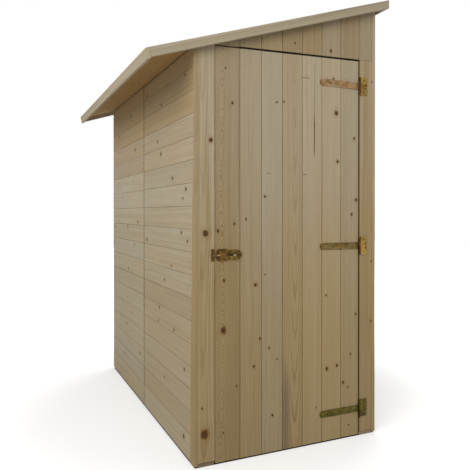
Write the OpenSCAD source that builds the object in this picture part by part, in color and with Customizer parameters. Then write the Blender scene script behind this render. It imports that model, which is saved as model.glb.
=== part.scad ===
// Lean-to garden shed: tongued board panels on a batten frame, a mono-pitch roof,
// and a ledged and braced door on three T hinges with a sliding bolt.
// Millimetres, +Z up, origin on the ground at the middle of the footprint.
// -X is the low wall, +X the high wall, -Y the door end.

/* [Walls] */
// Depth from the door face to the back face
wall_d = 1640; // [1200:10:2400]
// Thickness of the tongued boards
board_t = 16; // [12:1:22]
// Gap between the ground and the long walls
side_ground_gap = 6; // [4:1:30]
// Gap between the ground and the end walls
end_ground_gap = 17; // [10:1:35]

/* [Frame] */
// Depth of a frame batten, measured in from the boards
batten_t = 28; // [20:1:45]
// Width of a frame batten along its wall
batten_w = 45; // [35:1:60]
// Height of the middle rails above the ground
middle_rail_z = 960; // [700:10:1200]
// Width of the corner batten that shows beside the left end board
corner_batten_w = 10; // [6:1:20]

/* [Floor] */
// Height of a floor bearer
bearer_h = 40; // [30:1:60]
// Width of a floor bearer
bearer_w = 45; // [35:1:70]
// Number of floor bearers
bearer_count = 5; // [3:2:9]
// Thickness of the floor boards
floor_t = 16; // [12:1:22]
// Gap between the back of the closed door and the floor edge
floor_door_gap = 9; // [6:1:25]

/* [Roof] */
// Slope of the roof in degrees
roof_pitch = 17.5; // [12:0.5:22]
// Thickness of the roof deck
deck_t = 15; // [12:1:22]
// Thickness of the felt sheet on the deck
felt_t = 3; // [2:0.5:5]
// Thickness of the edge trims
trim_t = 18; // [12:1:25]
// Height of the edge trims, square to the roof
trim_h = 36; // [28:1:60]
// Reach of the roof past the low wall, along the slope
eave_reach = 223; // [80:1:320]
// Reach of the roof past the high wall, along the slope
high_reach = 58; // [30:1:200]
// Reach of the roof past the end walls
end_reach = 34; // [24:1:90]
// Depth of the purlin under the deck
purlin_h = 70; // [45:1:95]

/* [Door] */
// Width of the door
door_w = 745; // [600:5:900]
// Height of the door
door_h = 1781; // [1500:1:2100]
// Rise of the door's top from its bolt edge to its hinge edge
head_rise = 19; // [0:1:28]
// Gap between the door and the ground
door_ground_gap = 8; // [6:1:16]
// Gap between the door and the board on its bolt side
bolt_side_gap = 6; // [5:1:10]
// Gap between the door and the board on its hinge side
hinge_side_gap = 7; // [6:1:12]
// Gap between the door and the panel over it
head_gap = 8; // [6:1:14]
// Width of the board beside the door on its bolt side
left_board_w = 64; // [55:1:90]
// Width of the board beside the door on its hinge side
right_board_w = 76; // [60:1:110]
// Overlap of the door stop behind the door's bolt edge
stop_lap = 14; // [8:1:16]
// Width of a door ledge
ledge_w = 80; // [60:1:110]
// Thickness of the ledges and braces
ledge_t = 20; // [16:1:28]
// Distance from the door edges to the ledge ends
ledge_inset = 22; // [12:1:60]
// Level width of a brace where it meets a ledge
brace_w = 95; // [70:1:130]

/* [Hinges] */
// Height of the bottom hinge above the bottom of the door
bottom_hinge_up = 125; // [80:1:220]
// Distance of the top hinge below the top of the door
top_hinge_down = 101; // [80:1:220]
// Height of the middle hinge above halfway between the other two
middle_hinge_up = 9.5; // [0:0.5:40]
// Length of a hinge strap from its pin
strap_len = 224; // [150:1:300]
// Width of a hinge strap
strap_w = 32; // [24:1:40]
// Thickness of the hinge leaves
leaf_t = 3; // [2:0.5:4]
// Height of the leaf on the frame
plate_h = 84; // [70:1:110]
// Width of the leaf on the frame
plate_w = 38; // [28:1:45]
// Radius of the hinge pin
pin_r = 2.5; // [2:0.1:3]
// Outer radius of the hinge knuckles
knuckle_r = 5; // [4.5:0.1:6]
// Radius of the pin heads
pin_head_r = 4.5; // [3.5:0.1:5]
// Thickness of the pin heads
pin_head_t = 2; // [1:0.5:4]

/* [Bolt] */
// Height of the bolt above the ground
bolt_z = 896; // [700:1:1100]
// Distance from the door's bolt edge to the bolt plate
bolt_inset = 12; // [8:1:20]
// Length of the bolt plate
bolt_plate_len = 112; // [110:1:150]
// Height of the bolt plate
bolt_plate_h = 44; // [30:1:50]
// Height of the wide end of the bolt plate, and of the keep
bolt_flange_h = 54; // [44:1:70]
// Length of the wide end of the bolt plate
bolt_flange_len = 42; // [36:1:60]
// Distance from the start of the bolt plate to the bolt's cover
cover_inset = 3; // [2:1:6]
// Length of the bolt's cover
cover_len = 36; // [28:1:38]
// Width of the bolt's cover
cover_w = 46; // [40:1:50]
// Height of the bolt's cover off the door
cover_rise = 14; // [13.5:0.5:16]
// Thickness of the bolt plate and of the keep plate
bolt_plate_t = 2.5; // [2:0.5:4]
// Radius of the bolt
bolt_r = 4; // [3:0.5:6]
// Wall of the rear guide and the keep round the bolt
guide_wall = 4; // [2.5:0.5:6]
// Length of the rear guide
rear_guide_len = 8; // [6:1:12]
// Length of the keep along the bolt
keep_len = 15; // [12:1:22]
// Travel of the bolt
bolt_travel = 20; // [18:1:26]
// Radius of the knob on the bolt
knob_r = 6; // [4:0.5:8]
// Radius of the knob's stem
knob_stem_r = 3.5; // [2.5:0.5:4]

/* [Clearances] */
// Seating gap between the roof deck and what stands under it
roof_seat_gap = 0.2; // [0.1:0.1:0.8]
// Gap between the swinging door and the bargeboard over it
barge_clear = 5.4; // [5:0.1:20]
// Gap between the closed door and its stop
stop_gap = 5; // [3:1:8]
// Radial clearance of pins and of the bolt in its guides
running_gap = 0.05; // [0.02:0.01:0.1]
// Gap between the ends of neighbouring knuckles
knuckle_end_gap = 0.5; // [0.3:0.1:1]
// Radial clearance of the bolt in its keep
keep_gap = 0.8; // [0.5:0.1:1.5]
// Distance kept between the bolt's pieces and the door edge
bolt_edge_inset = 4; // [3:1:10]
// Gap between the hinge knuckles and the edges of their leaves
leaf_clear = 1.5; // [1:0.1:3]
// Gap between the bolt and its plate
bolt_clear = 1; // [0.5:0.1:2]
// Gap between the knob and the outside of the guides
knob_clear = 2; // [1:0.5:5]

/* [Hidden] */
$fn = 48;
// Overrun of a cut past the faces that it opens
cut = 1;

wood = [0.60, 0.54, 0.42];
frame_wood = [0.66, 0.56, 0.42];
trim_wood = [0.58, 0.55, 0.49];
felt_green = [0.24, 0.28, 0.25];
zinc_brass = [0.52, 0.45, 0.24];

// Width across the long walls, from the pieces of the door end
bolt_side_w = board_t + corner_batten_w + left_board_w + bolt_side_gap;
wall_w = bolt_side_w + door_w + hinge_side_gap + right_board_w + board_t;

// Height of the roof underside at the outer face of the low wall, which lets the door pass the bargeboard
door_top = door_ground_gap + door_h;
trim_top = deck_t + felt_t;
trim_drop = (trim_h - trim_top) / cos(roof_pitch);
low_wall_h = door_top + barge_clear + trim_drop - bolt_side_w * tan(roof_pitch);

// Wall planes, half sizes from the middle of the footprint
out_x = wall_w / 2;
in_x = out_x - board_t;
frame_x = in_x - batten_t;
out_y = wall_d / 2;
in_y = out_y - board_t;
frame_y = in_y - batten_t;
floor_top = bearer_h + floor_t;
rail_bottoms = [floor_top, middle_rail_z];

// Door opening, from the bolt side to the hinge side
left_board_x = -in_x + corner_batten_w;
opening_x = left_board_x + left_board_w;
door_x = opening_x + bolt_side_gap;
hinge_edge_x = door_x + door_w;
right_board_x = hinge_edge_x + hinge_side_gap;
head_z = door_top + head_gap;

// Rise of the door head at a place across the shed
function head_line(x) = head_rise * (x - door_x) / door_w;

// Heights of the three hinges
bottom_hinge_z = door_ground_gap + bottom_hinge_up;
top_hinge_z = door_top - top_hinge_down;
middle_hinge_z = (bottom_hinge_z + top_hinge_z) / 2 + middle_hinge_up;
hinge_zs = [bottom_hinge_z, middle_hinge_z, top_hinge_z];
ledge_zs = [for (z = hinge_zs) z - ledge_w / 2];

// Roof, along the slope from the outer face of the low wall
slope_w = wall_w / cos(roof_pitch);
deck_x0 = trim_t - eave_reach;
deck_x1 = slope_w + high_reach - trim_t;
deck_y = out_y + end_reach - trim_t;
floor_front_y = -in_y + floor_door_gap;
bearer_pitch = (in_y - floor_front_y - bearer_w) / (bearer_count - 1);

// Hinge axis, in front of the gap on the hinge side
hinge_x = hinge_edge_x + hinge_side_gap / 2;
hinge_y = -out_y - knuckle_r;
leaf_gap = knuckle_r + leaf_clear;
end_knuckle_h = (plate_h - strap_w) / 2 - knuckle_end_gap;

// Bolt, along X in front of the door face
bolt_x0 = door_x + bolt_inset;
bolt_x1 = bolt_x0 + bolt_plate_len;
guide_r = bolt_r + guide_wall;
bolt_y = -out_y - bolt_plate_t - bolt_clear - bolt_r;
cover_x = bolt_x0 + cover_inset;
cover_r = (cover_w * cover_w / 4 + cover_rise * cover_rise) / (2 * cover_rise);
cover_y = -out_y - cover_rise + cover_r;
knob_x = cover_x + cover_len + bolt_travel + 2 * knob_r - bolt_edge_inset;
rear_guide_x = knob_x + knob_r + bolt_edge_inset;
rod_x0 = door_x + bolt_edge_inset;
rod_x1 = rear_guide_x + rear_guide_len + bolt_travel;
knob_out = guide_r + knob_r + knob_clear;
keep_x1 = opening_x;

// Top of what stands under the roof deck at a place across the shed
function soffit(x) = low_wall_h - roof_seat_gap + (x + out_x) * tan(roof_pitch);

// An outline in X and Z, carried along Y
module along_y(outline, y0, y1) {
    translate([0, y1, 0])
        rotate([90, 0, 0])
            linear_extrude(y1 - y0)
                polygon(outline);
}

// An upright piece cut to the slope of the roof
module under_roof(x0, x1, y0, y1, z0) {
    along_y([[x0, z0], [x1, z0], [x1, soffit(x1)], [x0, soffit(x0)]], y0, y1);
}

// A box from its two corners
module block(low, high) {
    translate(low)
        cube(high - low);
}

// Places children on the roof's underside, X up the slope
module on_roof() {
    translate([-out_x, 0, low_wall_h])
        rotate([0, -roof_pitch, 0])
            children();
}

// A stretch of boards along a long wall; side is -1 for the low wall
module side_panel(side, y0, y1) {
    outer = side * out_x;
    inner = side * in_x;
    color(wood)
        under_roof(min(outer, inner), max(outer, inner), y0, y1, side_ground_gap);
}

// The X range of the battens on a long wall
function batten_x0(side) = side < 0 ? -in_x : frame_x;
function batten_x1(side) = batten_x0(side) + batten_t;
stud_ys = [-frame_y, -batten_w / 2, frame_y - batten_w];

module side_studs(side) {
    color(frame_wood)
        for (y = stud_ys)
            under_roof(batten_x0(side), batten_x1(side), y, y + batten_w, floor_top);
}

module side_rails(side) {
    x0 = batten_x0(side);
    x1 = batten_x1(side);
    color(frame_wood)
        for (bay = [0, 1]) {
            y0 = stud_ys[bay] + batten_w;
            y1 = stud_ys[bay + 1];
            for (z = rail_bottoms)
                block([x0, y0, z], [x1, y1, z + batten_w]);
            under_roof(x0, x1, y0, y1, soffit(x0) - batten_w);
        }
}

module floor_bearers() {
    color(frame_wood)
        for (i = [0 : bearer_count - 1]) {
            y = floor_front_y + i * bearer_pitch;
            block([-in_x, y, 0], [in_x, y + bearer_w, bearer_h]);
        }
}

module floor_boards() {
    color(wood)
        block([-in_x, floor_front_y, bearer_h], [in_x, in_y, floor_top]);
}

module left_wall_front_panel() { side_panel(-1, -out_y, 0); }
module left_wall_back_panel() { side_panel(-1, 0, out_y); }
module left_wall_studs() { side_studs(-1); }
module left_wall_rails() { side_rails(-1); }
module right_wall_front_panel() { side_panel(1, -out_y, 0); }
module right_wall_back_panel() { side_panel(1, 0, out_y); }
module right_wall_studs() { side_studs(1); }
module right_wall_rails() { side_rails(1); }

module back_wall_panel() {
    color(wood)
        under_roof(-in_x, in_x, in_y, out_y, end_ground_gap);
}

// Corner posts stand in the two back corners, with a stud between them
back_post_xs = [-in_x, -batten_w / 2, in_x - batten_w];

module back_wall_posts() {
    color(frame_wood)
        for (x = back_post_xs)
            under_roof(x, x + batten_w, frame_y, in_y, floor_top);
}

module back_wall_rails() {
    color(frame_wood)
        for (bay = [0, 1]) {
            x0 = back_post_xs[bay] + batten_w;
            x1 = back_post_xs[bay + 1];
            for (z = rail_bottoms)
                block([x0, frame_y, z], [x1, in_y, z + batten_w]);
            sloping_rail(x0, x1, frame_y, in_y);
        }
}

// A rail that follows the roof's underside
module sloping_rail(x0, x1, y0, y1) {
    along_y([
        [x0, soffit(x0) - batten_w], [x1, soffit(x1) - batten_w],
        [x1, soffit(x1)], [x0, soffit(x0)]
    ], y0, y1);
}

module front_corner_batten() {
    color(frame_wood)
        under_roof(-in_x, left_board_x, -out_y, -in_y, end_ground_gap);
}

module front_left_board() {
    color(wood)
        under_roof(left_board_x, opening_x, -out_y, -in_y, end_ground_gap);
}

module front_right_board() {
    color(wood)
        along_y([
            [right_board_x, end_ground_gap], [in_x, end_ground_gap],
            [in_x, head_z + head_line(in_x)], [right_board_x, head_z + head_line(right_board_x)]
        ], -out_y, -in_y);
}

module front_head_panel() {
    color(wood)
        along_y([
            [opening_x, head_z + head_line(opening_x)], [in_x, head_z + head_line(in_x)],
            [in_x, soffit(in_x)], [opening_x, soffit(opening_x)]
        ], -out_y, -in_y);
}

module door_jamb(x0) {
    color(frame_wood)
        under_roof(x0, x0 + batten_w, -in_y, -frame_y, floor_top);
}

module left_door_jamb() { door_jamb(-in_x); }
module right_door_jamb() { door_jamb(in_x - batten_w); }

// Rail over the doorway that follows its head, cut by the roof at its low end
jamb_in_x = in_x - batten_w;
head_rail_top = head_z + batten_w;
roof_over_head = tan(roof_pitch) - head_rise / door_w;
head_rail_meets_roof_x = door_x + (head_rail_top - soffit(door_x)) / roof_over_head;
top_rail_x = head_rail_meets_roof_x + batten_w / roof_over_head;

module door_head_rail() {
    color(frame_wood)
        along_y([
            [-jamb_in_x, head_z + head_line(-jamb_in_x)], [jamb_in_x, head_z + head_line(jamb_in_x)],
            [jamb_in_x, head_rail_top + head_line(jamb_in_x)],
            [head_rail_meets_roof_x, soffit(head_rail_meets_roof_x)], [-jamb_in_x, soffit(-jamb_in_x)]
        ], -in_y, -frame_y);
}

// A strip on the left jamb that the closed door comes up against
module frame_door_stop() {
    stop_y = -in_y + stop_gap;
    color(frame_wood)
        block(
            [-jamb_in_x, stop_y, floor_top],
            [door_x + stop_lap, stop_y + ledge_t, head_z + head_line(-jamb_in_x)]
        );
}

module front_top_rail() {
    color(frame_wood)
        sloping_rail(top_rail_x, jamb_in_x, -in_y, -frame_y);
}

module roof_purlin() {
    color(frame_wood)
        on_roof()
            block([slope_w / 2, -frame_y, -purlin_h], [slope_w / 2 + batten_w, frame_y, 0]);
}

module roof_deck() {
    color(wood)
        on_roof()
            block([deck_x0, -deck_y, 0], [deck_x1, deck_y, deck_t]);
}

module roof_felt() {
    color(felt_green)
        on_roof()
            block([deck_x0, -deck_y, deck_t], [deck_x1, deck_y, trim_top]);
}

// Trims stand level with the felt and hang below the deck
module bargeboard(y0) {
    color(trim_wood)
        on_roof()
            block([deck_x0, y0, trim_top - trim_h], [deck_x1 + trim_t, y0 + trim_t, trim_top]);
}

module front_bargeboard() { bargeboard(-deck_y - trim_t); }
module back_bargeboard() { bargeboard(deck_y); }

// The eave fascia covers the ends of the bargeboards
module eave_fascia() {
    color(trim_wood)
        on_roof()
            block([deck_x0 - trim_t, -deck_y - trim_t, trim_top - trim_h], [deck_x0, deck_y + trim_t, trim_top]);
}

// The high fascia sits between the bargeboards
module high_fascia() {
    color(trim_wood)
        on_roof()
            block([deck_x1, -deck_y, trim_top - trim_h], [deck_x1 + trim_t, deck_y, trim_top]);
}

module door_boards() {
    color(wood)
        along_y([
            [door_x, door_ground_gap], [hinge_edge_x, door_ground_gap],
            [hinge_edge_x, door_top + head_rise], [door_x, door_top]
        ], -out_y, -in_y);
}

module door_ledges() {
    color(frame_wood)
        for (z = ledge_zs)
            block(
                [door_x + ledge_inset, -in_y, z],
                [hinge_edge_x - ledge_inset, -in_y + ledge_t, z + ledge_w]
            );
}

// Each brace rises from the hinge side to the bolt side, between two ledges
module door_braces() {
    low_x = hinge_edge_x - ledge_inset;
    high_x = door_x + ledge_inset;
    color(frame_wood)
        for (bay = [0, 1]) {
            z0 = ledge_zs[bay] + ledge_w;
            z1 = ledge_zs[bay + 1];
            along_y([
                [low_x - brace_w, z0], [low_x, z0],
                [high_x + brace_w, z1], [high_x, z1]
            ], -in_y, -in_y + ledge_t);
        }
}

// A tube on the hinge axis, bored for the pin, with a web to its leaf
module knuckle(z0, height, leaf_side) {
    web_x = leaf_side < 0 ? -leaf_gap : 0;
    difference() {
        union() {
            translate([0, 0, z0])
                cylinder(r = knuckle_r, h = height);
            translate([web_x, knuckle_r - leaf_t, z0])
                cube([leaf_gap, leaf_t, height]);
        }
        translate([0, 0, z0 - cut])
            cylinder(r = pin_r + running_gap, h = height + 2 * cut);
    }
}

// Moves children to the pin of a hinge at height z
module at_hinge(z) {
    translate([hinge_x, hinge_y, z])
        children();
}

// The long leaf on the door, with a round end and one knuckle
module hinge_strap(z) {
    color(zinc_brass)
        at_hinge(z) {
            knuckle(-strap_w / 2, strap_w, -1);
            translate([-strap_len + strap_w / 2, knuckle_r - leaf_t, -strap_w / 2])
                cube([strap_len - strap_w / 2 - leaf_gap, leaf_t, strap_w]);
            translate([-strap_len + strap_w / 2, knuckle_r, 0])
                rotate([90, 0, 0])
                    cylinder(r = strap_w / 2, h = leaf_t);
        }
}

// The short leaf on the frame, with a knuckle at each end
module hinge_plate(z) {
    color(zinc_brass)
        at_hinge(z) {
            knuckle(-plate_h / 2, end_knuckle_h, 1);
            knuckle(plate_h / 2 - end_knuckle_h, end_knuckle_h, 1);
            translate([leaf_gap, knuckle_r - leaf_t, -plate_h / 2])
                cube([plate_w, leaf_t, plate_h]);
        }
}

module hinge_pin(z) {
    color(zinc_brass)
        at_hinge(z) {
            translate([0, 0, -plate_h / 2])
                cylinder(r = pin_r, h = plate_h);
            for (end = [-plate_h / 2 - pin_head_t, plate_h / 2])
                translate([0, 0, end])
                    cylinder(r = pin_head_r, h = pin_head_t);
        }
}

module top_hinge_strap() { hinge_strap(top_hinge_z); }
module middle_hinge_strap() { hinge_strap(middle_hinge_z); }
module bottom_hinge_strap() { hinge_strap(bottom_hinge_z); }
module top_hinge_plate() { hinge_plate(top_hinge_z); }
module middle_hinge_plate() { hinge_plate(middle_hinge_z); }
module bottom_hinge_plate() { hinge_plate(bottom_hinge_z); }
module top_hinge_pin() { hinge_pin(top_hinge_z); }
module middle_hinge_pin() { hinge_pin(middle_hinge_z); }
module bottom_hinge_pin() { hinge_pin(bottom_hinge_z); }

// A round bar along X on the bolt's axis
module bolt_bar(x0, length, r) {
    translate([x0, bolt_y, bolt_z])
        rotate([0, 90, 0])
            cylinder(r = r, h = length);
}

// A loop of pressed metal round the bolt, down to its plate
module bolt_loop(x0, length, gap) {
    difference() {
        union() {
            bolt_bar(x0, length, guide_r);
            block([x0, bolt_y, bolt_z - guide_r], [x0 + length, -out_y, bolt_z + guide_r]);
        }
        bolt_bar(x0 - cut, length + 2 * cut, bolt_r + gap);
        block([x0 - cut, -out_y, bolt_z - 2 * guide_r], [x0 + length + cut, -in_y, bolt_z + 2 * guide_r]);
    }
}

// The pressed cover that the bolt runs in, a low arch across the plate
module bolt_cover() {
    difference() {
        translate([cover_x, cover_y, bolt_z])
            rotate([0, 90, 0])
                cylinder(r = cover_r, h = cover_len);
        bolt_bar(cover_x - cut, cover_len + 2 * cut, bolt_r + running_gap);
        block(
            [cover_x - cut, -out_y, bolt_z - 2 * cover_r],
            [cover_x + cover_len + cut, -out_y + 2 * cover_r, bolt_z + 2 * cover_r]
        );
    }
}

module bolt_plate() {
    end_r = bolt_plate_h / 2;
    color(zinc_brass) {
        block(
            [bolt_x0, -out_y - bolt_plate_t, bolt_z - end_r],
            [bolt_x1 - end_r, -out_y, bolt_z + end_r]
        );
        block(
            [bolt_x0, -out_y - bolt_plate_t, bolt_z - bolt_flange_h / 2],
            [bolt_x0 + bolt_flange_len, -out_y, bolt_z + bolt_flange_h / 2]
        );
        translate([bolt_x1 - end_r, -out_y, bolt_z])
            rotate([90, 0, 0])
                cylinder(r = end_r, h = bolt_plate_t);
        bolt_cover();
        bolt_loop(rear_guide_x, rear_guide_len, running_gap);
    }
}

module bolt_rod() {
    color(zinc_brass) {
        bolt_bar(rod_x0, rod_x1 - rod_x0, bolt_r);
        translate([knob_x, bolt_y, bolt_z])
            rotate([90, 0, 0])
                cylinder(r = knob_stem_r, h = knob_out);
        translate([knob_x, bolt_y - knob_out, bolt_z])
            sphere(r = knob_r);
    }
}

module bolt_keep() {
    color(zinc_brass) {
        block(
            [keep_x1 - keep_len, -out_y - bolt_plate_t, bolt_z - bolt_flange_h / 2],
            [keep_x1, -out_y, bolt_z + bolt_flange_h / 2]
        );
        bolt_loop(keep_x1 - keep_len, keep_len, keep_gap);
    }
}

floor_bearers();
floor_boards();
left_wall_front_panel();
left_wall_back_panel();
left_wall_studs();
left_wall_rails();
right_wall_front_panel();
right_wall_back_panel();
right_wall_studs();
right_wall_rails();
back_wall_panel();
back_wall_posts();
back_wall_rails();
front_corner_batten();
front_left_board();
front_right_board();
front_head_panel();
left_door_jamb();
right_door_jamb();
frame_door_stop();
door_head_rail();
front_top_rail();
roof_purlin();
roof_deck();
roof_felt();
front_bargeboard();
back_bargeboard();
eave_fascia();
high_fascia();
door_boards();
door_ledges();
door_braces();
top_hinge_strap();
middle_hinge_strap();
bottom_hinge_strap();
top_hinge_plate();
middle_hinge_plate();
bottom_hinge_plate();
top_hinge_pin();
middle_hinge_pin();
bottom_hinge_pin();
bolt_plate();
bolt_rod();
bolt_keep();
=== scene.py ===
"""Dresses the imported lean-to garden shed: boards, framing, roof, door, T hinges, bolt and stage."""

import math
import random

import bmesh
import bpy
from bpy.props import FloatProperty, FloatVectorProperty, IntProperty, PointerProperty
from mathutils import Matrix, Vector


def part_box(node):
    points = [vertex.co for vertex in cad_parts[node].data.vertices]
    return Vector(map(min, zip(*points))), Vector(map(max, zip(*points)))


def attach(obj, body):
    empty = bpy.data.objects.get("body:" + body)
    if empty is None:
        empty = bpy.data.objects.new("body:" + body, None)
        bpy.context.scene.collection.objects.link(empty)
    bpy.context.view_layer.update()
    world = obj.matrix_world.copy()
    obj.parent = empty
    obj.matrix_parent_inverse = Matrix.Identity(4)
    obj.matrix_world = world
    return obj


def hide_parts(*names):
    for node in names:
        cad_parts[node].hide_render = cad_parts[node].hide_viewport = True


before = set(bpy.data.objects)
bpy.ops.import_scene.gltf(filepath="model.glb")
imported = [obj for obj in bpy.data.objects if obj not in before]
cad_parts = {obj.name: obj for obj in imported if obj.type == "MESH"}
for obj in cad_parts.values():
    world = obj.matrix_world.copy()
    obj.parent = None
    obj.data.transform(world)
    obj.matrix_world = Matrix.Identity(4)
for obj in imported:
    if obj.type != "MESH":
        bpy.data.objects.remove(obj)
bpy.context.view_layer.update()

bl_info = {
    "name": "Lean-to Garden Shed",
    "version": (1, 0, 0),
    "blender": (4, 5, 0),
    "location": "View3D > Sidebar > Shed",
    "description": "Dresses the frame of a small lean-to shed with boards, roof, hinges and bolt",
    "category": "Object",
}

# Axes of a board
X, Y, Z = 0, 1, 2

# Planes of the shed that the frame gives
LOW_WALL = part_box("left_wall_front_panel")
BOARD_T = LOW_WALL[1].x - LOW_WALL[0].x
OUT_X = -LOW_WALL[0].x
IN_X = OUT_X - BOARD_T
OUT_Y = -LOW_WALL[0].y
IN_Y = OUT_Y - BOARD_T
BATTEN_T = 0.028
BATTEN_W = 0.045
BATTEN_EASE = 0.0018
FRAME_X = IN_X - BATTEN_T
FRAME_Y = IN_Y - BATTEN_T
FLOOR_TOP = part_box("floor_boards")[1].z
RAIL_BOTTOMS = (FLOOR_TOP, 0.960)
# Length by which a batten runs past the roof before it is cut
SPARE = 0.01
# A board narrower than this joins its neighbour
NARROWEST = 0.012
# How far a board may sit back, the painted shade of a shut end, and how strong the figure of the wood is
SIDE_SINK = 0.0006
UPRIGHT_SINK = 0.0007
FLOOR_SINK = 0.0006
DARK_END = 0.9
SIDE_CALM = 0.5
UPRIGHT_CALM = 0.45
# Chamfers that differ from the settings
FLOOR_VEE = 0.001
END_VEE_SHARE = 0.4
CORNER_EASE = 0.0012
# Upright strips over the front ends of the side walls: width at the foot and at the top
LOW_STRIP = (0.058, 0.004)
HIGH_STRIP = (0.022, 0.022)

# Door: its head rises towards the hinges, and the gap over it closes towards the bolt
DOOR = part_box("door_boards")
HEAD_RISE = 0.019
HEAD_SLOPE = HEAD_RISE / (DOOR[1].x - DOOR[0].x)
HEAD_GAP = 0.008
HEAD_FIT = 0.001
RIGHT_BOARD_GAP = 0.0005
HEAD_UP = Vector((-HEAD_SLOPE, 0.0, 1.0)).normalized()
DOOR_TOP = DOOR[1].z - HEAD_RISE
LEDGE_W = 0.080
LEDGE_VEE = 0.004
BRACE_W = 0.095

# Floor bearers, and the soles under the two end boards
BEARERS = 5
BEARER_W = 0.045
SOLE_H = 0.0145
SOLE_INSET = 0.003
SOLE_EASE = 0.001

# Roof: its pitch, and the frame that turns level pieces onto the slope
ROOF_PITCH = math.radians(17.5)
ROOF_SEAT_GAP = 0.0002
EAVE_Z = LOW_WALL[1].z - BOARD_T * math.tan(ROOF_PITCH) + ROOF_SEAT_GAP
ON_ROOF = Matrix.Translation((-OUT_X, 0.0, EAVE_Z)) @ Matrix.Rotation(-ROOF_PITCH, 4, "Y")
ROOF_UP = Vector((-math.sin(ROOF_PITCH), 0.0, math.cos(ROOF_PITCH)))
SLOPE_W = 2 * OUT_X / math.cos(ROOF_PITCH)
DECK_LOW = -0.205
DECK_HIGH = SLOPE_W + 0.040
DECK_Y = OUT_Y + 0.016
DECK_T = 0.015
DECK_GAP = 0.0003
DECK_VEE = 0.0008
DECK_EASE = 0.0006
FELT_TOP = 0.018
FELT_EASE = 0.0006
LAP_LOW = 0.52
LAP_HIGH = 0.60
LAP_STEP = 0.0018
PURLIN_H = 0.070
PURLIN_EASE = 0.002

# Trims of the roof's edges: the fascia is deeper and leans out, and the high ends are cut plumb
TRIM_T = 0.018
TRIM_H = 0.039
TRIM_EASE = 0.0022
FASCIA_DROP = 0.005
FASCIA_LEAN = 0.12
PLUMB_INSET = 0.003
PLUMB_DEPTH = 0.036

# Metal parts: their arrises, how far joined parts overlap, steps of an arc, and screw heads
METAL_EASE = 0.0006
METAL_OVERLAP = 0.001
ARC_STEPS = 14
SCREW_R = 0.0042
SCREW_RISE = 0.0011

# Hinges: places of the pins, sizes of the leaves, and screws by their distance along and across
HINGE_X = 0.3745
HINGE_Y = -OUT_Y - 0.005
STRAP_LEN = 0.224
STRAP_W = 0.032
# The strap's wide ease also widens its dark rim, painted shade along its edges
STRAP_EASE = 0.0014
LEAF_T = 0.003
LEAF_GAP = 0.0065
PLATE_W = 0.038
PLATE_H = 0.084
KNUCKLE_R = 0.005
KNUCKLE_END_GAP = 0.0005
PIN_R = 0.0025
PIN_HEAD_R = 0.0045
PIN_HEAD_H = 0.002
STRAP_SCREWS = ((0.024, 0.008), (0.024, -0.008), (0.085, 0.0), (0.145, 0.0), (0.205, 0.0))
PLATE_SCREWS = ((0.020, 0.030), (0.028, 0.006), (0.028, -0.010), (0.020, -0.030))

# Bolt: its axis, the sizes round it, and screws by their distance along, across and radius
BOLT_Z = 0.896
BOLT_Y = -OUT_Y - 0.0075
BOLT_R = 0.004
BOLT_EASE = 0.0012
BOLT_PLATE_T = 0.0025
BOLT_PLATE_H = 0.044
SHOULDER_X = 0.042
SHOULDER_H = 0.054
# A thin dark strip at the plate's square end: painted shade in the slot by the keep
SIDE_STRIP = Vector((0.008, 0.0015, 0.023))
COVER_X = 0.003
COVER_LEN = 0.036
COVER_HALF = 0.023
COVER_RISE = 0.014
COVER_EASE = 0.0024
COVER_STEPS = 20
ROD_SEEN_X = 0.034
KNOB_X = 0.067
KNOB_R = 0.006
KNOB_STEM_R = 0.0035
LOOP_X = 0.077
LOOP_LEN = 0.008
LOOP_R = 0.008
LOOP_T = 0.0022
KEEP_SCREW_UP = 0.018
KEEP_SCREW_R = 0.0048
BOLT_SCREWS = (
    (0.005, 0.0242, 0.0022), (0.005, -0.0242, 0.0022), (0.054, 0.015, 0.0050), (0.054, -0.015, 0.0050),
    (0.097, 0.012, 0.0050), (0.097, -0.012, 0.0050),
)

# Nails: heads in the boards and on the felt
NAIL_R = 0.0018
NAIL_SINK = 0.0008
NAIL_RISE = 0.0013
SIDE_NAIL_SINK = 0.0007
SIDE_NAIL_RISE = 0.0012
FELT_NAIL_R = 0.0055
FELT_NAIL_RISE = 0.0014
FELT_NAILS = 17
LAP_NAIL_IN = 0.015
EDGE_NAIL_IN = 0.020
# Nails stand by a share of the board from its middle; the door's are staggered
NAIL_SCATTER = 0.003
NAIL_SPREAD = 0.25
DOOR_NAIL_SPREAD = 0.26
DOOR_NAIL_STAGGER = 0.026

# A board carries this many knots at most
KNOT_PLACES = 8
LAYER_NAMES = ["grain", "log", "tone", "shut", "form", "check", "stain", "nick_1", "nick_2"]
LAYER_NAMES += [f"knot_{place + 1}" for place in range(KNOT_PLACES)]

# Knots of the door boards from the bolt side: height, place across the board, radius
DOOR_KNOTS = (
    ((0.13, -0.020, 0.0040), (0.325, 0.042, 0.0044), (0.573, -0.020, 0.0136), (0.787, -0.017, 0.0060),
     (1.00, -0.045, 0.0066), (1.03, 0.032, 0.0046), (1.553, 0.023, 0.0058), (1.70, -0.010, 0.0036)),
    ((0.40, 0.015, 0.0056), (0.52, 0.044, 0.0050), (0.76, 0.023, 0.0074), (1.05, -0.024, 0.0044)),
    ((0.17, 0.002, 0.0056), (0.42, 0.025, 0.0034), (0.475, -0.015, 0.0046), (0.803, -0.036, 0.0036),
     (1.15, -0.036, 0.0053), (1.573, 0.024, 0.0036)),
    ((1.58, -0.046, 0.0040),),
    ((0.17, 0.021, 0.0036),),
    ((0.345, -0.025, 0.0072), (0.353, 0.032, 0.0070), (0.69, -0.030, 0.0046), (1.32, 0.035, 0.0070),
     (1.55, 0.027, 0.0098), (1.708, 0.010, 0.0054)),
    ((0.06, -0.004, 0.0038), (0.242, -0.010, 0.0042), (0.268, -0.037, 0.0066), (0.40, 0.007, 0.0042),
     (0.59, 0.036, 0.0053), (1.07, 0.012, 0.0060), (1.14, 0.038, 0.0066), (1.435, 0.026, 0.0058)),
)
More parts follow.
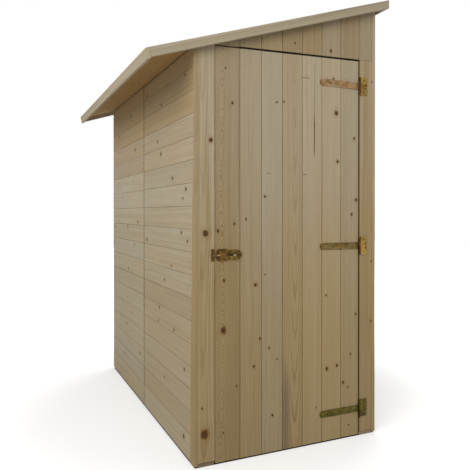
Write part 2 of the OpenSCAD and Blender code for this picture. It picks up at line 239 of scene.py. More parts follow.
# Marks of single door boards: a drying check, a grey stain, cross lines, paler or warmer wood
DOOR_MARKS = {
    0: {"hue": -0.02, "shade": -0.08, "figured": (-0.027, -0.017, 0.004, 1.0), "form": (0.034, 0.85),
        "dark_ends": (DARK_END, 0.0)},
    1: {"hue": 0.05, "shade": -0.04},
    2: {"hue": 0.28, "shade": -0.01, "nicks": ((1.254, -0.026, -0.010), (1.574, 0.018, 0.030))},
    3: {"hue": 0.16, "figured": (0.010, -0.030, -0.032, 0.75), "form": (0.004, 1.0),
        "stain": (0.56, -0.053, 0.040)},
    4: {"hue": 0.38, "shade": 0.03, "figured": (0.085, -0.030, 0.010, 0.2), "check": (1.56, 0.011, 0.24),
        "nicks": ((1.699, -0.052, -0.014), (1.254, -0.052, -0.030))},
    5: {"hue": 0.12, "shade": 0.02},
    6: {"hue": 0.32, "shade": 0.03},
}
LEFT_BOARD_KNOTS = (
    (0.138, -0.014, 0.0190), (0.25, -0.024, 0.0044), (0.99, -0.009, 0.0132), (1.387, 0.015, 0.0092))
RIGHT_BOARD_KNOTS = ((0.55, 0.030, 0.0046), (0.84, 0.032, 0.0040), (1.716, 0.033, 0.0036))
# Boards over the door after the first: knots, and tones near the eave and near the high wall
HEAD_KNOTS = {2: ((1.85, 0.012, 0.0040),), 4: ((1.838, -0.004, 0.0066),)}
# Their darker shade is painted shadow of the bargeboard; their warmer hue is the wood's own
HEAD_NEAR = {"shade": -0.20, "hue": -0.33}
HEAD_FAR = {"shade": -0.15, "hue": -0.12}
HEAD_NEAR_BOARDS = 4

# Knots of the low wall's front panel: course from the ground, place along the wall, place across, radius
LOW_WALL_KNOTS = (
    (0, -0.68, 0.020, 0.0102), (2, -0.39, 0.000, 0.0061), (3, -0.69, 0.018, 0.0075),
    (5, -0.30, 0.034, 0.0068), (5, -0.28, -0.036, 0.0061), (5, -0.54, -0.034, 0.0075),
    (7, -0.39, -0.012, 0.0068), (8, -0.50, -0.033, 0.0061), (9, -0.65, 0.030, 0.0075),
    (9, -0.73, -0.005, 0.0068), (9, -0.06, -0.027, 0.0082), (11, -0.71, 0.025, 0.0082),
    (11, -0.67, -0.015, 0.0061), (12, -0.52, -0.015, 0.0082), (13, -0.33, 0.020, 0.0088),
    (14, -0.27, -0.010, 0.0075), (16, -0.34, -0.033, 0.0075), (16, -0.70, 0.035, 0.0061),
    (17, -0.07, -0.030, 0.0082),
)

# Fixed colours in the timber: a crack, a stain, and painted shade in a shut joint and on a board's end
CRACK_BROWN = (0.040, 0.024, 0.010, 1.0)
STAIN_GREY = (0.080, 0.068, 0.052, 1.0)
JOINT_BROWN = (0.26, 0.19, 0.12, 1.0)
END_BROWN = (0.030, 0.020, 0.010, 1.0)
WHITE = (1.0, 1.0, 1.0, 1.0)

# Stage: lamps, the tint of the sky, and the floor
KEY_PLACE = (-4.7, -4.5, 4.1)
FILL_PLACE = (4.6, 4.4, 4.0)
LAMP_AIM = Vector((-0.1, -0.5, 1.2))
LAMP_SIZE = (5.0, 4.5)
LAMP_TINT = (1.0, 0.975, 0.94)
SKY_TINT = (0.94, 0.97, 1.0, 1.0)
FLOOR_HALF = 14.0
FLOOR_DROP = 0.0005
# Colour of the floor under the shed: painted shade
PAINTED_SHADE_UNDER_SHED = (0.06, 0.042, 0.026, 1.0)

# Timber finishes: wood, colour that it weathers to, share of the ring spacing, shade in the joints
TIMBERS = {
    "tongued_boards": ("board", "bleached", 1.0, 0.66),
    "sawn_framing": ("frame", "bleached", 0.8, 0.0),
    "planed_trim": ("trim", "bleached", 0.7, 0.0),
    "roof_boards": ("soffit", "soffit_pale", 1.0, 0.4),
}


def length_setting(name, description, default):
    """Returns a setting that holds a length."""
    return FloatProperty(name=name, description=description, default=default, unit="LENGTH")


def colour_setting(name, description, default):
    """Returns a setting that holds a display colour."""
    return FloatVectorProperty(name=name, description=description, default=default, subtype="COLOR_GAMMA")


class ShedBoardSettings(bpy.types.PropertyGroup):
    """Sizes of the boards and their joints."""

    side_cover: length_setting("Side Board Cover", "Height of a side wall board between its joints", 0.0985)
    side_joint: length_setting("First Side Joint", "Height of the lowest joint of the side walls", 0.1217)
    end_cover: length_setting("End Board Cover", "Width of an upright board between its joints", 0.1054)
    end_joint: length_setting(
        "First Door Joint", "Place of the door's first joint from the bolt side", -0.2585)
    roof_cover: length_setting("Roof Board Cover", "Width of a roof board up the slope", 0.103)
    floor_cover: length_setting("Floor Board Cover", "Width of a floor board", 0.101)
    side_vee: length_setting("Side Joint Chamfer", "Chamfer on each long edge of a side board", 0.0011)
    panel_gap: length_setting("Panel Gap", "Gap between the two panels of a side wall", 0.0075)
    eave_gap: length_setting("Eave Gap", "Gap between the low wall's boards and the roof", 0.0045)
    ground_gap: length_setting("Ground Gap", "Gap under the lowest board of a side wall", 0.0035)
    joint_gap: length_setting("Joint Gap", "Gap between neighbouring boards", 0.0008)
    joint_vee: length_setting("Joint Chamfer", "Chamfer on each long edge of a board", 0.0016)
    bolt_side_fit: length_setting(
        "Bolt Side Fit", "How far the boards close up the gap on the bolt side of the door", 0.0024)
    foot_fit: length_setting("Foot Fit", "How far the boards close up the gap under the door", 0.0020)
    arris: length_setting("Arris", "Easing of the other edges", 0.0010)
    seed: IntProperty(
        name="Timber Seed", description="Picks other rings, tones and stray knots", default=11)


class ShedFinishSettings(bpy.types.PropertyGroup):
    """Colours of the timber, the felt and the metal."""

    board_pale: colour_setting("Board Pale", "Pale wood of the wall and door boards", (0.625, 0.545, 0.40))
    board_late: colour_setting(
        "Board Rings", "Darker rings of the wall and door boards", (0.53, 0.435, 0.28))
    frame_pale: colour_setting("Frame Pale", "Pale wood of the framing", (0.68, 0.61, 0.48))
    frame_late: colour_setting("Frame Rings", "Darker rings of the framing", (0.56, 0.46, 0.32))
    trim_pale: colour_setting("Trim Pale", "Pale wood of the roof edges", (0.63, 0.585, 0.492))
    trim_late: colour_setting("Trim Rings", "Darker rings of the roof edges", (0.53, 0.48, 0.39))
    soffit_pale: colour_setting("Soffit Pale", "Pale wood of the roof boards", (0.60, 0.48, 0.305))
    soffit_late: colour_setting("Soffit Rings", "Darker rings of the roof boards", (0.48, 0.37, 0.22))
    bleached: colour_setting("Bleached", "Wood that the weather has paled", (0.655, 0.605, 0.52))
    knot_brown: colour_setting("Knot", "Heart of a knot", (0.45, 0.30, 0.14))
    felt: colour_setting("Felt", "Mineral felt on the roof", (0.24, 0.28, 0.25))
    brass: colour_setting("Brass Zinc", "Passivated zinc of the middle hinge's strap", (0.46, 0.385, 0.205))
    gold: colour_setting("Golden Zinc", "Passivated zinc of the upper hinge plates", (0.62, 0.51, 0.24))
    copper: colour_setting("Coppery Zinc", "Passivated zinc of the top hinge", (0.68, 0.56, 0.40))
    olive: colour_setting("Olive Zinc", "Passivated zinc of the bottom hinge", (0.375, 0.345, 0.12))
    bronze: colour_setting(
        "Bronze Zinc", "Passivated zinc of the bolt's plate and keep", (0.46, 0.375, 0.17))
    rubbed: colour_setting("Rubbed Zinc", "Zinc of the bolt, rubbed bright", (0.74, 0.68, 0.52))
    tarnished: colour_setting(
        "Tarnished Zinc", "Darkened zinc of the screws, knuckles and nails", (0.29, 0.20, 0.13))
    ring_spacing: length_setting("Ring Spacing", "Width of a year's growth", 0.0062)


class ShedStageSettings(bpy.types.PropertyGroup):
    """Camera, light and floor."""

    camera_place: FloatVectorProperty(
        name="Camera Place", description="Where the camera stands",
        default=(-1.247, -2.959, 1.076), subtype="XYZ", unit="LENGTH")
    camera_turn: FloatProperty(
        name="Camera Turn", description="How far the camera turns towards the high wall",
        default=math.radians(24.26), subtype="ANGLE")
    camera_tilt: FloatProperty(
        name="Camera Tilt", description="How far the camera looks up",
        default=math.radians(-0.38), subtype="ANGLE")
    camera_lens: FloatProperty(
        name="Lens", description="Focal length in millimetres", default=41.46)
    camera_shift: FloatProperty(
        name="Frame Shift", description="Upward shift of the frame in frame widths", default=-0.0387)
    key_power: FloatProperty(
        name="Key Light", description="Power of the large soft light", default=312.0, unit="POWER")
    fill_power: FloatProperty(
        name="Fill Light", description="Power of the soft light behind the shed",
        default=170.0, unit="POWER")
    sky_top: FloatProperty(
        name="Sky Light", description="Strength of the light from overhead", default=0.62)
    sky_side: FloatProperty(
        name="Side Light", description="Strength of the light from the horizon", default=0.36)
    floor_pale: colour_setting("Floor", "Colour of the floor", (0.90, 0.90, 0.90))


def linear(colour):
    """Turns a display colour into the linear colour that a node holds."""
    channels = [c / 12.92 if c <= 0.04045 else ((c + 0.055) / 1.055) ** 2.4 for c in colour]
    return (*channels, 1.0)


def toned(colour, *shares):
    """Returns a linear colour with each channel scaled."""
    return (*(min(1.0, channel * share) for channel, share in zip(colour, shares)), 1.0)


class Recipe:
    """Adds and wires the nodes of one finish."""

    def __init__(self, tree):
        self.tree = tree

    def node(self, kind, **settings):
        node = self.tree.nodes.new(kind)
        for key, value in settings.items():
            setattr(node, key, value)
        return node

    def feed(self, socket, value):
        if isinstance(value, bpy.types.NodeSocket):
            self.tree.links.new(value, socket)
        else:
            socket.default_value = value

    def math(self, operation, *values, clamp=False):
        node = self.node("ShaderNodeMath", operation=operation, use_clamp=clamp)
        for socket, value in zip(node.inputs, values):
            self.feed(socket, value)
        return node.outputs[0]

    def plus(self, first, second, clamp=False):
        return self.math("ADD", first, second, clamp=clamp)

    def minus(self, first, second):
        return self.math("SUBTRACT", first, second)

    def times(self, first, second, clamp=False):
        return self.math("MULTIPLY", first, second, clamp=clamp)

    def larger(self, first, second):
        return self.math("MAXIMUM", first, second)

    def apart(self, first, second):
        return self.math("ABSOLUTE", self.minus(first, second))

    def fade(self, value, start, end, low=0.0, high=1.0):
        node = self.node("ShaderNodeMapRange", interpolation_type="SMOOTHSTEP")
        for socket, number in zip(node.inputs, (value, start, end, low, high)):
            self.feed(socket, number)
        return node.outputs[0]

    def attribute(self, name):
        return self.node("ShaderNodeAttribute", attribute_name=name).outputs["Vector"]

    def object_place(self):
        return self.node("ShaderNodeTexCoord").outputs["Object"]

    def split(self, vector):
        node = self.node("ShaderNodeSeparateXYZ")
        self.feed(node.inputs[0], vector)
        return node.outputs[0], node.outputs[1], node.outputs[2]

    def gather(self, *values):
        node = self.node("ShaderNodeCombineXYZ")
        for socket, value in zip(node.inputs, values):
            self.feed(socket, value)
        return node.outputs[0]

    def noise(self, place, scale=1.0, detail=2.0, rough=0.5):
        node = self.node("ShaderNodeTexNoise")
        for name, value in (("Vector", place), ("Scale", scale), ("Detail", detail), ("Roughness", rough)):
            self.feed(node.inputs[name], value)
        return node.outputs[0]

    def swing(self, noise, amount):
        """Noise to both sides of nought."""
        return self.times(self.minus(noise, 0.5), amount)

    def ramp(self, value, *stops):
        node = self.node("ShaderNodeValToRGB")
        self.feed(node.inputs[0], value)
        bar = node.color_ramp
        while len(bar.elements) < len(stops):
            bar.elements.new(0.5)
        for element, (position, grey) in zip(bar.elements, stops):
            element.position = position
            element.color = (grey, grey, grey, 1.0)
        return node.outputs[0]

    def mix(self, share, first, second, kind="MIX"):
        node = self.node("ShaderNodeMix", data_type="RGBA", blend_type=kind)
        self.feed(node.inputs[0], share)
        self.feed(node.inputs[6], first)
        self.feed(node.inputs[7], second)
        return node.outputs[2]

    def glaze(self, colour, tint):
        """A colour seen through a tint."""
        return self.mix(1.0, colour, tint, "MULTIPLY")

    def dim(self, colour, grey):
        return self.glaze(colour, self.gather(grey, grey, grey))

    def bump(self, height, strength, distance):
        node = self.node("ShaderNodeBump")
        for name, value in (("Height", height), ("Strength", strength), ("Distance", distance)):
            self.feed(node.inputs[name], value)
        return node.outputs["Normal"]

    def surface(self, **sockets):
        shader = self.node("ShaderNodeBsdfPrincipled")
        for name, value in sockets.items():
            self.feed(shader.inputs[name.replace("_", " ").title().replace("Ior", "IOR")], value)
        self.output("ShaderNodeOutputMaterial", shader)

    def output(self, kind, shader):
        self.feed(self.node(kind).inputs["Surface"], shader.outputs[0])


def new_finish(name):
    """Returns an empty material and the recipe that fills it."""
    material = bpy.data.materials.new(name)
    material.use_nodes = True
    material.node_tree.nodes.clear()
    return material, Recipe(material.node_tree)


def knot_group():
    """Returns the node group that bends the grain round one knot and marks its heart and halo."""
    known = bpy.data.node_groups.get("knot in a board")
    if known:
        return known
    group = bpy.data.node_groups.new("knot in a board", "ShaderNodeTree")
    for name in ("Grain", "Knot"):
        group.interface.new_socket(name, in_out="INPUT", socket_type="NodeSocketVector")
    for name in ("Shift", "Heart", "Core", "Halo"):
        group.interface.new_socket(name, in_out="OUTPUT", socket_type="NodeSocketFloat")
    cook = Recipe(group)
    given = cook.node("NodeGroupInput")
    along, across, depth = cook.split(given.outputs["Grain"])
    knot_along, knot_across, radius = cook.split(given.outputs["Knot"])
    # A knot is a little longer than it is wide
    off_along = cook.times(cook.minus(along, knot_along), 0.82)
    off_across = cook.minus(across, knot_across)
    apart = cook.plus(cook.times(off_along, off_along), cook.times(off_across, off_across))
    area = cook.times(radius, radius)
    soft = cook.plus(cook.plus(apart, cook.times(area, 0.35)), 1e-7)
    shift = cook.times(off_across, cook.math("DIVIDE", cook.times(area, -1.15), soft))
    wobble = cook.noise(given.outputs["Grain"], 90.0, 1.0)
    ragged = cook.times(cook.math("SQRT", apart), cook.plus(wobble, 0.5))
    scaled = cook.math("DIVIDE", ragged, cook.larger(radius, 1e-5))
    result = cook.node("NodeGroupOutput")
    cook.feed(result.inputs["Shift"], shift)
    cook.feed(result.inputs["Heart"], cook.fade(scaled, 1.25, 0.70))
    cook.feed(result.inputs["Core"], cook.fade(scaled, 1.05, 0.50))
    cook.feed(result.inputs["Halo"], cook.fade(scaled, 2.8, 0.9))
    return group


def all_knots(cook, grain):
    """Returns how far a board's knots shift its grain, and where their hearts, cores and halos lie."""
    shift, heart, core, halo = 0.0, 0.0, 0.0, 0.0
    for place in range(KNOT_PLACES):
        knot = cook.node("ShaderNodeGroup", node_tree=knot_group())
        cook.feed(knot.inputs["Grain"], grain)
        cook.feed(knot.inputs["Knot"], cook.attribute(f"knot_{place + 1}"))
        shift = cook.plus(shift, knot.outputs["Shift"])
        heart = cook.larger(heart, knot.outputs["Heart"])
        core = cook.larger(core, knot.outputs["Core"])
        halo = cook.larger(halo, knot.outputs["Halo"])
    return shift, heart, core, halo


def with_check(cook, colour, along, across, ripple_place):
    """Adds a drying check, thinner in its upper part, to the boards that have one."""
    check_along, check_across, check_half = cook.split(cook.attribute("check"))
    sway = cook.swing(cook.noise(ripple_place, 2.5), 0.004)
    off = cook.math("ABSOLUTE", cook.plus(cook.minus(across, check_across), sway))
    past_end = cook.minus(cook.apart(along, check_along), check_half)
    opened = cook.times(cook.fade(past_end, 0.0, -0.06), 0.0024)
    opened = cook.times(opened, cook.fade(cook.minus(along, check_along), 0.0, -0.08, 0.42, 1.0))
    crack = cook.fade(cook.minus(off, opened), 0.0, -0.0006)
    return cook.mix(crack, colour, CRACK_BROWN)


def with_stain(cook, colour, along, flow, streak):
    """Adds a grey stain that widens downwards to the boards that have one."""
    stain_top, stain_across, stain_wide = cook.split(cook.attribute("stain"))
    below = cook.minus(stain_top, along)
    spread = cook.times(cook.times(below, 4.0, clamp=True), stain_wide)
    stained = cook.fade(cook.minus(cook.apart(flow, stain_across), spread), 0.014, -0.024)
    stained = cook.times(stained, cook.fade(streak, 0.35, 0.65, 0.6, 1.0))
    stained = cook.times(stained, cook.times(cook.fade(below, 0.0, 0.35), 0.55))
    stained = cook.times(stained, cook.fade(stain_wide, 0.0, 0.001))
    return cook.mix(stained, colour, STAIN_GREY)


def with_nicks(cook, colour, along, across, dark):
    """Adds fine cross lines to the boards that have them."""
    for place in ("nick_1", "nick_2"):
        nick_along, nick_start, nick_end = cook.split(cook.attribute(place))
        after = cook.math("GREATER_THAN", across, nick_start)
        inside = cook.times(after, cook.math("LESS_THAN", across, nick_end))
        near = cook.fade(cook.apart(along, nick_along), 0.0022, 0.0008)
        colour = cook.mix(cook.times(cook.times(inside, near), 0.8), colour, dark)
    return colour


def timber(name, pale, late, bleached, knot_brown, spacing, joint_shade=0.0):
    """Returns sawn softwood whose rings, fibres and knots follow each board's own grain."""
    material, cook = new_finish(name)
    grain = cook.attribute("grain")
    along, across, depth = cook.split(grain)
    pith_across, pith_depth, slope = cook.split(cook.attribute("log"))
    bright, hue, seed = cook.split(cook.attribute("tone"))
    joint, cut_end, figure = cook.split(cook.attribute("shut"))
    wave, tight, calm = cook.split(cook.attribute("form"))
    shift, heart, core, halo = all_knots(cook, grain)

    def drawn_out(lengthwise, place, sideways, third=seed, **kind):
        """Noise that is stretched along the grain."""
        spot = cook.gather(cook.times(along, lengthwise), cook.times(place, sideways), third)
        return cook.noise(spot, **kind)

    # The grain drifts along the board and ripples a little
    drift = cook.swing(cook.noise(cook.gather(cook.times(along, 1.6), seed, 0.0), detail=1.0), 0.024)
    ripple_place = cook.gather(cook.times(along, 9.0), cook.times(across, 30.0), seed)
    ripple = cook.swing(cook.noise(ripple_place), 0.005)
    flow = cook.plus(cook.plus(across, shift), cook.plus(drift, ripple))
    # Rings round the pith of the log
    side = cook.minus(flow, pith_across)
    bulge = cook.swing(cook.noise(cook.gather(cook.times(along, 24.0), seed, 3.0)), wave)
    taper = cook.plus(cook.times(along, slope), bulge)
    deep = cook.plus(cook.minus(depth, pith_depth), taper)
    reach = cook.math("SQRT", cook.plus(cook.times(side, side), cook.times(deep, deep)))
    phase = cook.math("FRACT", cook.math("DIVIDE", reach, cook.times(tight, spacing)))
    ring = cook.ramp(phase, (0.0, 0.45), (0.12, 0.02), (0.60, 0.16), (0.90, 1.0), (1.0, 0.5))
    # Streaks, fibres and flecks drawn out along the grain
    streak = drawn_out(0.9, flow, 75.0, detail=3.0, rough=0.6)
    fibre = drawn_out(12.0, flow, 520.0, cook.times(depth, 520.0))
    patch = drawn_out(2.2, across, 9.0)
    fleck = cook.fade(drawn_out(60.0, flow, 420.0, detail=1.0), 0.70, 0.80)
    # Colour, bleached in patches towards the top of the shed and darker towards the ground as painted shade
    share = cook.times(ring, cook.times(figure, cook.fade(patch, 0.25, 0.75, 0.5, 1.0)))
    x, y, height_up = cook.split(cook.object_place())
    weathered = cook.plus(cook.fade(height_up, 0.4, 1.6, -0.35, 0.45), cook.plus(hue, 0.20))
    striped = cook.times(cook.fade(streak, 0.30, 0.70, -0.35, 0.35), calm)
    bleach = cook.plus(weathered, striped, clamp=True)
    early_wood = cook.mix(bleach, pale, bleached)
    late_wood = cook.mix(cook.times(bleach, 0.55), late, bleached)
    colour = cook.mix(share, early_wood, late_wood)
    grey = cook.plus(cook.times(cook.fade(streak, 0.25, 0.75, -0.10, 0.07), calm), 1.0)
    grey = cook.plus(grey, cook.fade(fibre, 0.2, 0.8, -0.06, 0.06))
    grey = cook.times(grey, cook.plus(bright, 1.0))
    grey = cook.minus(grey, cook.times(fleck, 0.13))
    grey = cook.minus(grey, cook.times(share, 0.15))
    # Painted shade: the wood is darker towards the ground, as if lit from above
    grey = cook.times(grey, cook.fade(height_up, 0.0, 1.7, 0.91, 1.04))
    colour = cook.dim(colour, grey)
    warm = cook.plus(cook.times(hue, -0.4), patch, clamp=True)
    colour = cook.glaze(colour, cook.mix(warm, (0.98, 1.01, 0.99, 1.0), (1.05, 0.98, 0.92, 1.0)))
    # Knots, and the marks that only some boards have
    colour = cook.mix(cook.times(halo, 0.30), colour, cook.mix(0.45, late, knot_brown))
    knot_dark = toned(knot_brown, 0.22, 0.22, 0.22)
    mottle = cook.fade(drawn_out(300.0, across, 110.0), 0.30, 0.70, 0.70, 1.0)
    knot_colour = cook.mix(cook.times(core, mottle), knot_brown, knot_dark)
    colour = cook.mix(cook.times(heart, 0.94), colour, knot_colour)
    colour = with_check(cook, colour, along, across, ripple_place)
    colour = with_stain(cook, colour, along, flow, streak)
    colour = with_nicks(cook, colour, along, across, knot_dark)
    # Painted shade in the shut joints and on the cut ends, which are also darker end grain
    if joint_shade:
        colour = cook.glaze(colour, cook.mix(cook.times(joint, joint_shade), WHITE, JOINT_BROWN))
        colour = cook.mix(cut_end, colour, END_BROWN)
    height = cook.plus(cook.times(ring, 0.35), cook.times(fibre, 0.5))
    height = cook.plus(height, cook.times(heart, 0.5))
    rough = cook.fade(fibre, 0.2, 0.8, 0.68, 0.84)
    cook.surface(
        base_color=colour, roughness=rough, specular_ior_level=0.16, normal=cook.bump(height, 0.35, 0.0006))
    return material


def zinc(name, base):
    """Returns passivated zinc with dark and reddish blotches, fine scratches and a dull sheen."""
    material, cook = new_finish(name)
    tarnish = toned(base, 0.44, 0.43, 0.44)
    blush = toned(base, 0.92, 0.68, 0.56)
    place = cook.object_place()
    blotch = cook.noise(place, 34.0, 3.0, 0.6)
    flush = cook.noise(place, 21.0)
    mottle = cook.noise(place, 130.0)
    speck = cook.noise(place, 480.0, 2.0, 0.6)
    x, y, z = cook.split(place)
    scratch = cook.noise(cook.gather(cook.times(x, 90.0), y, cook.times(z, 1400.0)))
    colour = cook.mix(cook.fade(flush, 0.44, 0.60, 0.0, 0.8), base, blush)
    colour = cook.mix(cook.fade(blotch, 0.42, 0.66), colour, tarnish)
    colour = cook.mix(cook.fade(mottle, 0.46, 0.66, 0.0, 0.7), colour, tarnish)
    colour = cook.dim(colour, cook.fade(speck, 0.25, 0.75, 0.86, 1.10))
    rough = cook.plus(cook.fade(blotch, 0.3, 0.7, 0.34, 0.50), cook.fade(scratch, 0.3, 0.7, -0.05, 0.08))
    height = cook.plus(cook.times(speck, 0.6), cook.times(scratch, 0.4))
    cook.surface(base_color=colour, metallic=0.82, roughness=rough, normal=cook.bump(height, 0.25, 0.0003))
    return material


def mineral_felt(name, base):
    """Returns roofing felt with a granular mineral face."""
    material, cook = new_finish(name)
    place = cook.object_place()
    grit = cook.noise(place, 900.0, 1.0)
    speckle = cook.noise(place, 350.0)
    stain = cook.noise(place, 4.0, 3.0, 0.6)
    colour = cook.mix(cook.fade(speckle, 0.52, 0.72), base, toned(base, 2.1, 2.1, 2.1))
    colour = cook.mix(cook.fade(grit, 0.55, 0.40), colour, toned(base, 0.45, 0.45, 0.45))
    colour = cook.dim(colour, cook.fade(stain, 0.3, 0.7, 0.82, 1.12))
    height = cook.plus(cook.times(grit, 0.6), cook.times(speckle, 0.5))
    cook.surface(
        base_color=colour, roughness=0.93, specular_ior_level=0.25, normal=cook.bump(height, 0.7, 0.0012))
    return material


def timber_finish(context, name):
    """Returns one of the timber finishes, made once."""
    known = bpy.data.materials.get(name)
    if known:
        return known
    look = context.scene.shed_finishes
    wood, weathered, ring_share, joint_shade = TIMBERS[name]
    keys = (f"{wood}_pale", f"{wood}_late", weathered, "knot_brown")
    colours = [linear(getattr(look, key)) for key in keys]
    return timber(name, *colours, look.ring_spacing * ring_share, joint_shade)


def zinc_finish(context, tone):
    """Returns one of the zinc finishes, made once."""
    known = bpy.data.materials.get(f"{tone}_zinc")
    return known or zinc(f"{tone}_zinc", linear(getattr(context.scene.shed_finishes, tone)))


def soffit(x):
    """Height of what stands under the roof deck at a place across the shed."""
    return EAVE_Z - ROOF_SEAT_GAP + (x + OUT_X) * math.tan(ROOF_PITCH)


def roof_cut(drop=0.0):
    """Returns the cut that a sloping roof makes, lowered by a drop."""
    return Vector((-OUT_X, 0.0, soffit(-OUT_X) - drop)), ROOF_UP


def head_cut(rise, up=1.0):
    """Returns the cut along the door's head, raised above the door's top."""
    return Vector((DOOR[0].x, 0.0, DOOR_TOP + rise)), HEAD_UP * up


def box_part(part, low, high):
    """Fills an empty part with a box between two corners."""
    bmesh.ops.create_cube(part, size=1.0)
    bmesh.ops.scale(part, vec=high - low, verts=part.verts[:])
    bmesh.ops.translate(part, vec=(low + high) / 2, verts=part.verts[:])
    return part


def bevel_edges(part, edges, offset, segments=2):
    """Chamfers or rounds edges of a part."""
    bmesh.ops.bevel(
        part, geom=edges, offset=offset, offset_type="OFFSET", segments=segments, profile=0.5,
        affect="EDGES", clamp_overlap=True, material=-1)


def spin_point(part, point, centre, axis, angle, steps):
    """Spins a point into an arc and returns the arc's last point."""
    spun = bmesh.ops.spin(
        part, geom=[point], cent=centre, axis=axis, angle=angle, steps=steps, use_merge=False,
        use_duplicate=False)
    return next(item for item in spun["geom_last"] if isinstance(item, bmesh.types.BMVert))


def pull_out(part, extruded, way):
    """Moves what an extrusion made, and turns the faces outwards."""
    moved = [item for item in extruded["geom"] if isinstance(item, bmesh.types.BMVert)]
    bmesh.ops.translate(part, vec=way, verts=moved)
    bmesh.ops.recalc_face_normals(part, faces=part.faces[:])


def facing(place, out):
    """Returns the turn that stands a part at a place, its own Z towards out."""
    return Matrix.Translation(place) @ Vector(out).to_track_quat("Z", "Y").to_matrix().to_4x4()


def join_part(bm, part, turn=None):
    """Turns a part into place and adds it to the mesh of its piece."""
    if turn:
        bmesh.ops.transform(part, matrix=turn, verts=part.verts[:])
    mesh = bpy.data.meshes.new("part")
    part.to_mesh(mesh)
    part.free()
    bm.from_mesh(mesh)
    bpy.data.meshes.remove(mesh)


def new_timber():
    """Returns an empty mesh with the layers that the timber finishes read."""
    bm = bmesh.new()
    for name in LAYER_NAMES:
        bm.verts.layers.float_vector.new(name)
    return bm


def stray_knots(draw, low, high, along, across, per_metre):
    """Draws knots for a board that the photograph doesn't show."""
    length = high[along] - low[along]
    width = high[across] - low[across]
    knots = []
    for place in range(min(KNOT_PLACES, round(length * per_metre * draw.uniform(0.4, 1.5)))):
        radius = min(draw.uniform(0.003, 0.009), width / 6)
        at = low[along] + length * draw.uniform(0.03, 0.97)
        off = width * draw.uniform(-0.38, 0.38)
        knots.append((at, off, radius))
    return knots


def mark_timber(part, low, high, along, depth, face, draw, knots=None, per_metre=2.0, shade=0.0, hue=0.0,
                calm=1.0, check=None, stain=None, figured=None, form=(0.002, 1.0), nicks=(),
                dark_ends=(0.0, 0.0), jointed=True):
    """Writes a board's grain, log, tone, knots and marks into the layers that its finish reads."""
    across = 3 - along - depth
    middle = (low + high) / 2
    front = middle[depth] + face * (high - low)[depth] / 2
    if knots is None:
        knots = stray_knots(draw, low, high, along, across, per_metre)
    pith = draw.uniform(-0.080, 0.080)
    log = Vector((pith, draw.choice((-1, 1)) * draw.uniform(0.018, 0.060), draw.uniform(-0.020, 0.020)))
    hue += draw.uniform(-0.3, 0.3) * (0.3 + 0.7 * calm)
    tone = Vector((shade + draw.uniform(-0.06, 0.06), hue, draw.uniform(0.0, 90.0)))
    figure = draw.uniform(0.15, 0.75) * calm
    if figured:
        log, figure = Vector(figured[:3]), figured[3]
    spots = {f"knot_{place + 1}": knot for place, knot in enumerate(knots[:KNOT_PLACES])}
    spots.update({f"nick_{place + 1}": nick for place, nick in enumerate(nicks)})
    spots.update({name: spot for name, spot in (("check", check), ("stain", stain)) if spot})
    values = {name: Vector((at - middle[along], *rest)) for name, (at, *rest) in spots.items()}
    values.update(log=log, tone=tone, form=Vector((*form, calm)), shut=Vector((0.0, 0.0, figure)))
    layers = part.verts.layers.float_vector
    for vert in part.verts:
        off = vert.co - middle
        vert[layers["grain"]] = Vector((off[along], off[across], (vert.co[depth] - front) * face))
        for name, value in values.items():
            vert[layers[name]] = value
    for side in part.faces:
        lean = side.normal[along]
        if abs(side.normal[across]) > 0.95:
            marks = Vector((float(jointed), 0.0, figure))
        elif abs(lean) > 0.9:
            marks = Vector((0.0, dark_ends[0] if lean < 0 else dark_ends[1], figure))
        else:
            continue
        for vert in side.verts:
            vert[layers["shut"]] = marks


def plank(bm, low, high, along, depth, face, draw, vee=0.0, ease=0.001, cuts=(), turn=None, **marks):
    """Adds a board between two corners, with its grain along one axis and its face towards another."""
    low, high = Vector(low), Vector(high)
    part = box_part(new_timber(), low, high)
    for point, normal in cuts:
        everything = part.verts[:] + part.edges[:] + part.faces[:]
        cut = bmesh.ops.bisect_plane(
            part, geom=everything, dist=1e-6, plane_co=point, plane_no=normal, clear_outer=True)
        rim = [edge for edge in cut["geom_cut"] if isinstance(edge, bmesh.types.BMEdge)]
        if rim:
            bmesh.ops.edgeloop_fill(part, edges=rim)
    if not part.faces:
        part.free()
        return
    if vee:
        front = (low + high)[depth] / 2 + face * (high - low)[depth] / 2
        long_edges = []
        for edge in part.edges:
            run = edge.verts[1].co - edge.verts[0].co
            on_face = all(abs(vert.co[depth] - front) < 1e-5 for vert in edge.verts)
            if on_face and abs(run[along]) > 0.99 * run.length:
                long_edges.append(edge)
        bevel_edges(part, long_edges, vee, segments=1)
    if ease:
        sharp = [edge for edge in part.edges if edge.is_manifold and edge.calc_face_angle() > 1.0]
        bevel_edges(part, sharp, ease)
    bmesh.ops.recalc_face_normals(part, faces=part.faces[:])
    mark_timber(part, low, high, along, depth, face, draw, **marks)
    join_part(bm, part, turn)


def finish_piece(name, bm, finish, body, slot, *nodes, smooth=False, second=None):
    """Makes a mesh into a piece that rides on a body and stands for the nodes it replaces."""
    mesh = bpy.data.meshes.new(name)
    bm.to_mesh(mesh)
    bm.free()
    mesh.materials.append(finish)
    if second:
        mesh.materials.append(second)
    if smooth:
        mesh.shade_smooth()
        mesh.set_sharp_from_angle(angle=math.radians(35))
    piece = bpy.data.objects.new(name, mesh)
    bpy.context.scene.collection.objects.link(piece)
    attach(piece, body)
    if nodes:
        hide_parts(*nodes)
    return piece


def joints_between(low, high, first, cover):
    """Returns the edges of the boards that fill a width, from one joint and the cover."""
    joints = [low]
    place = first
    while place < high - NARROWEST:
        if place > low + NARROWEST:
            joints.append(place)
        place += cover
    return joints + [high]


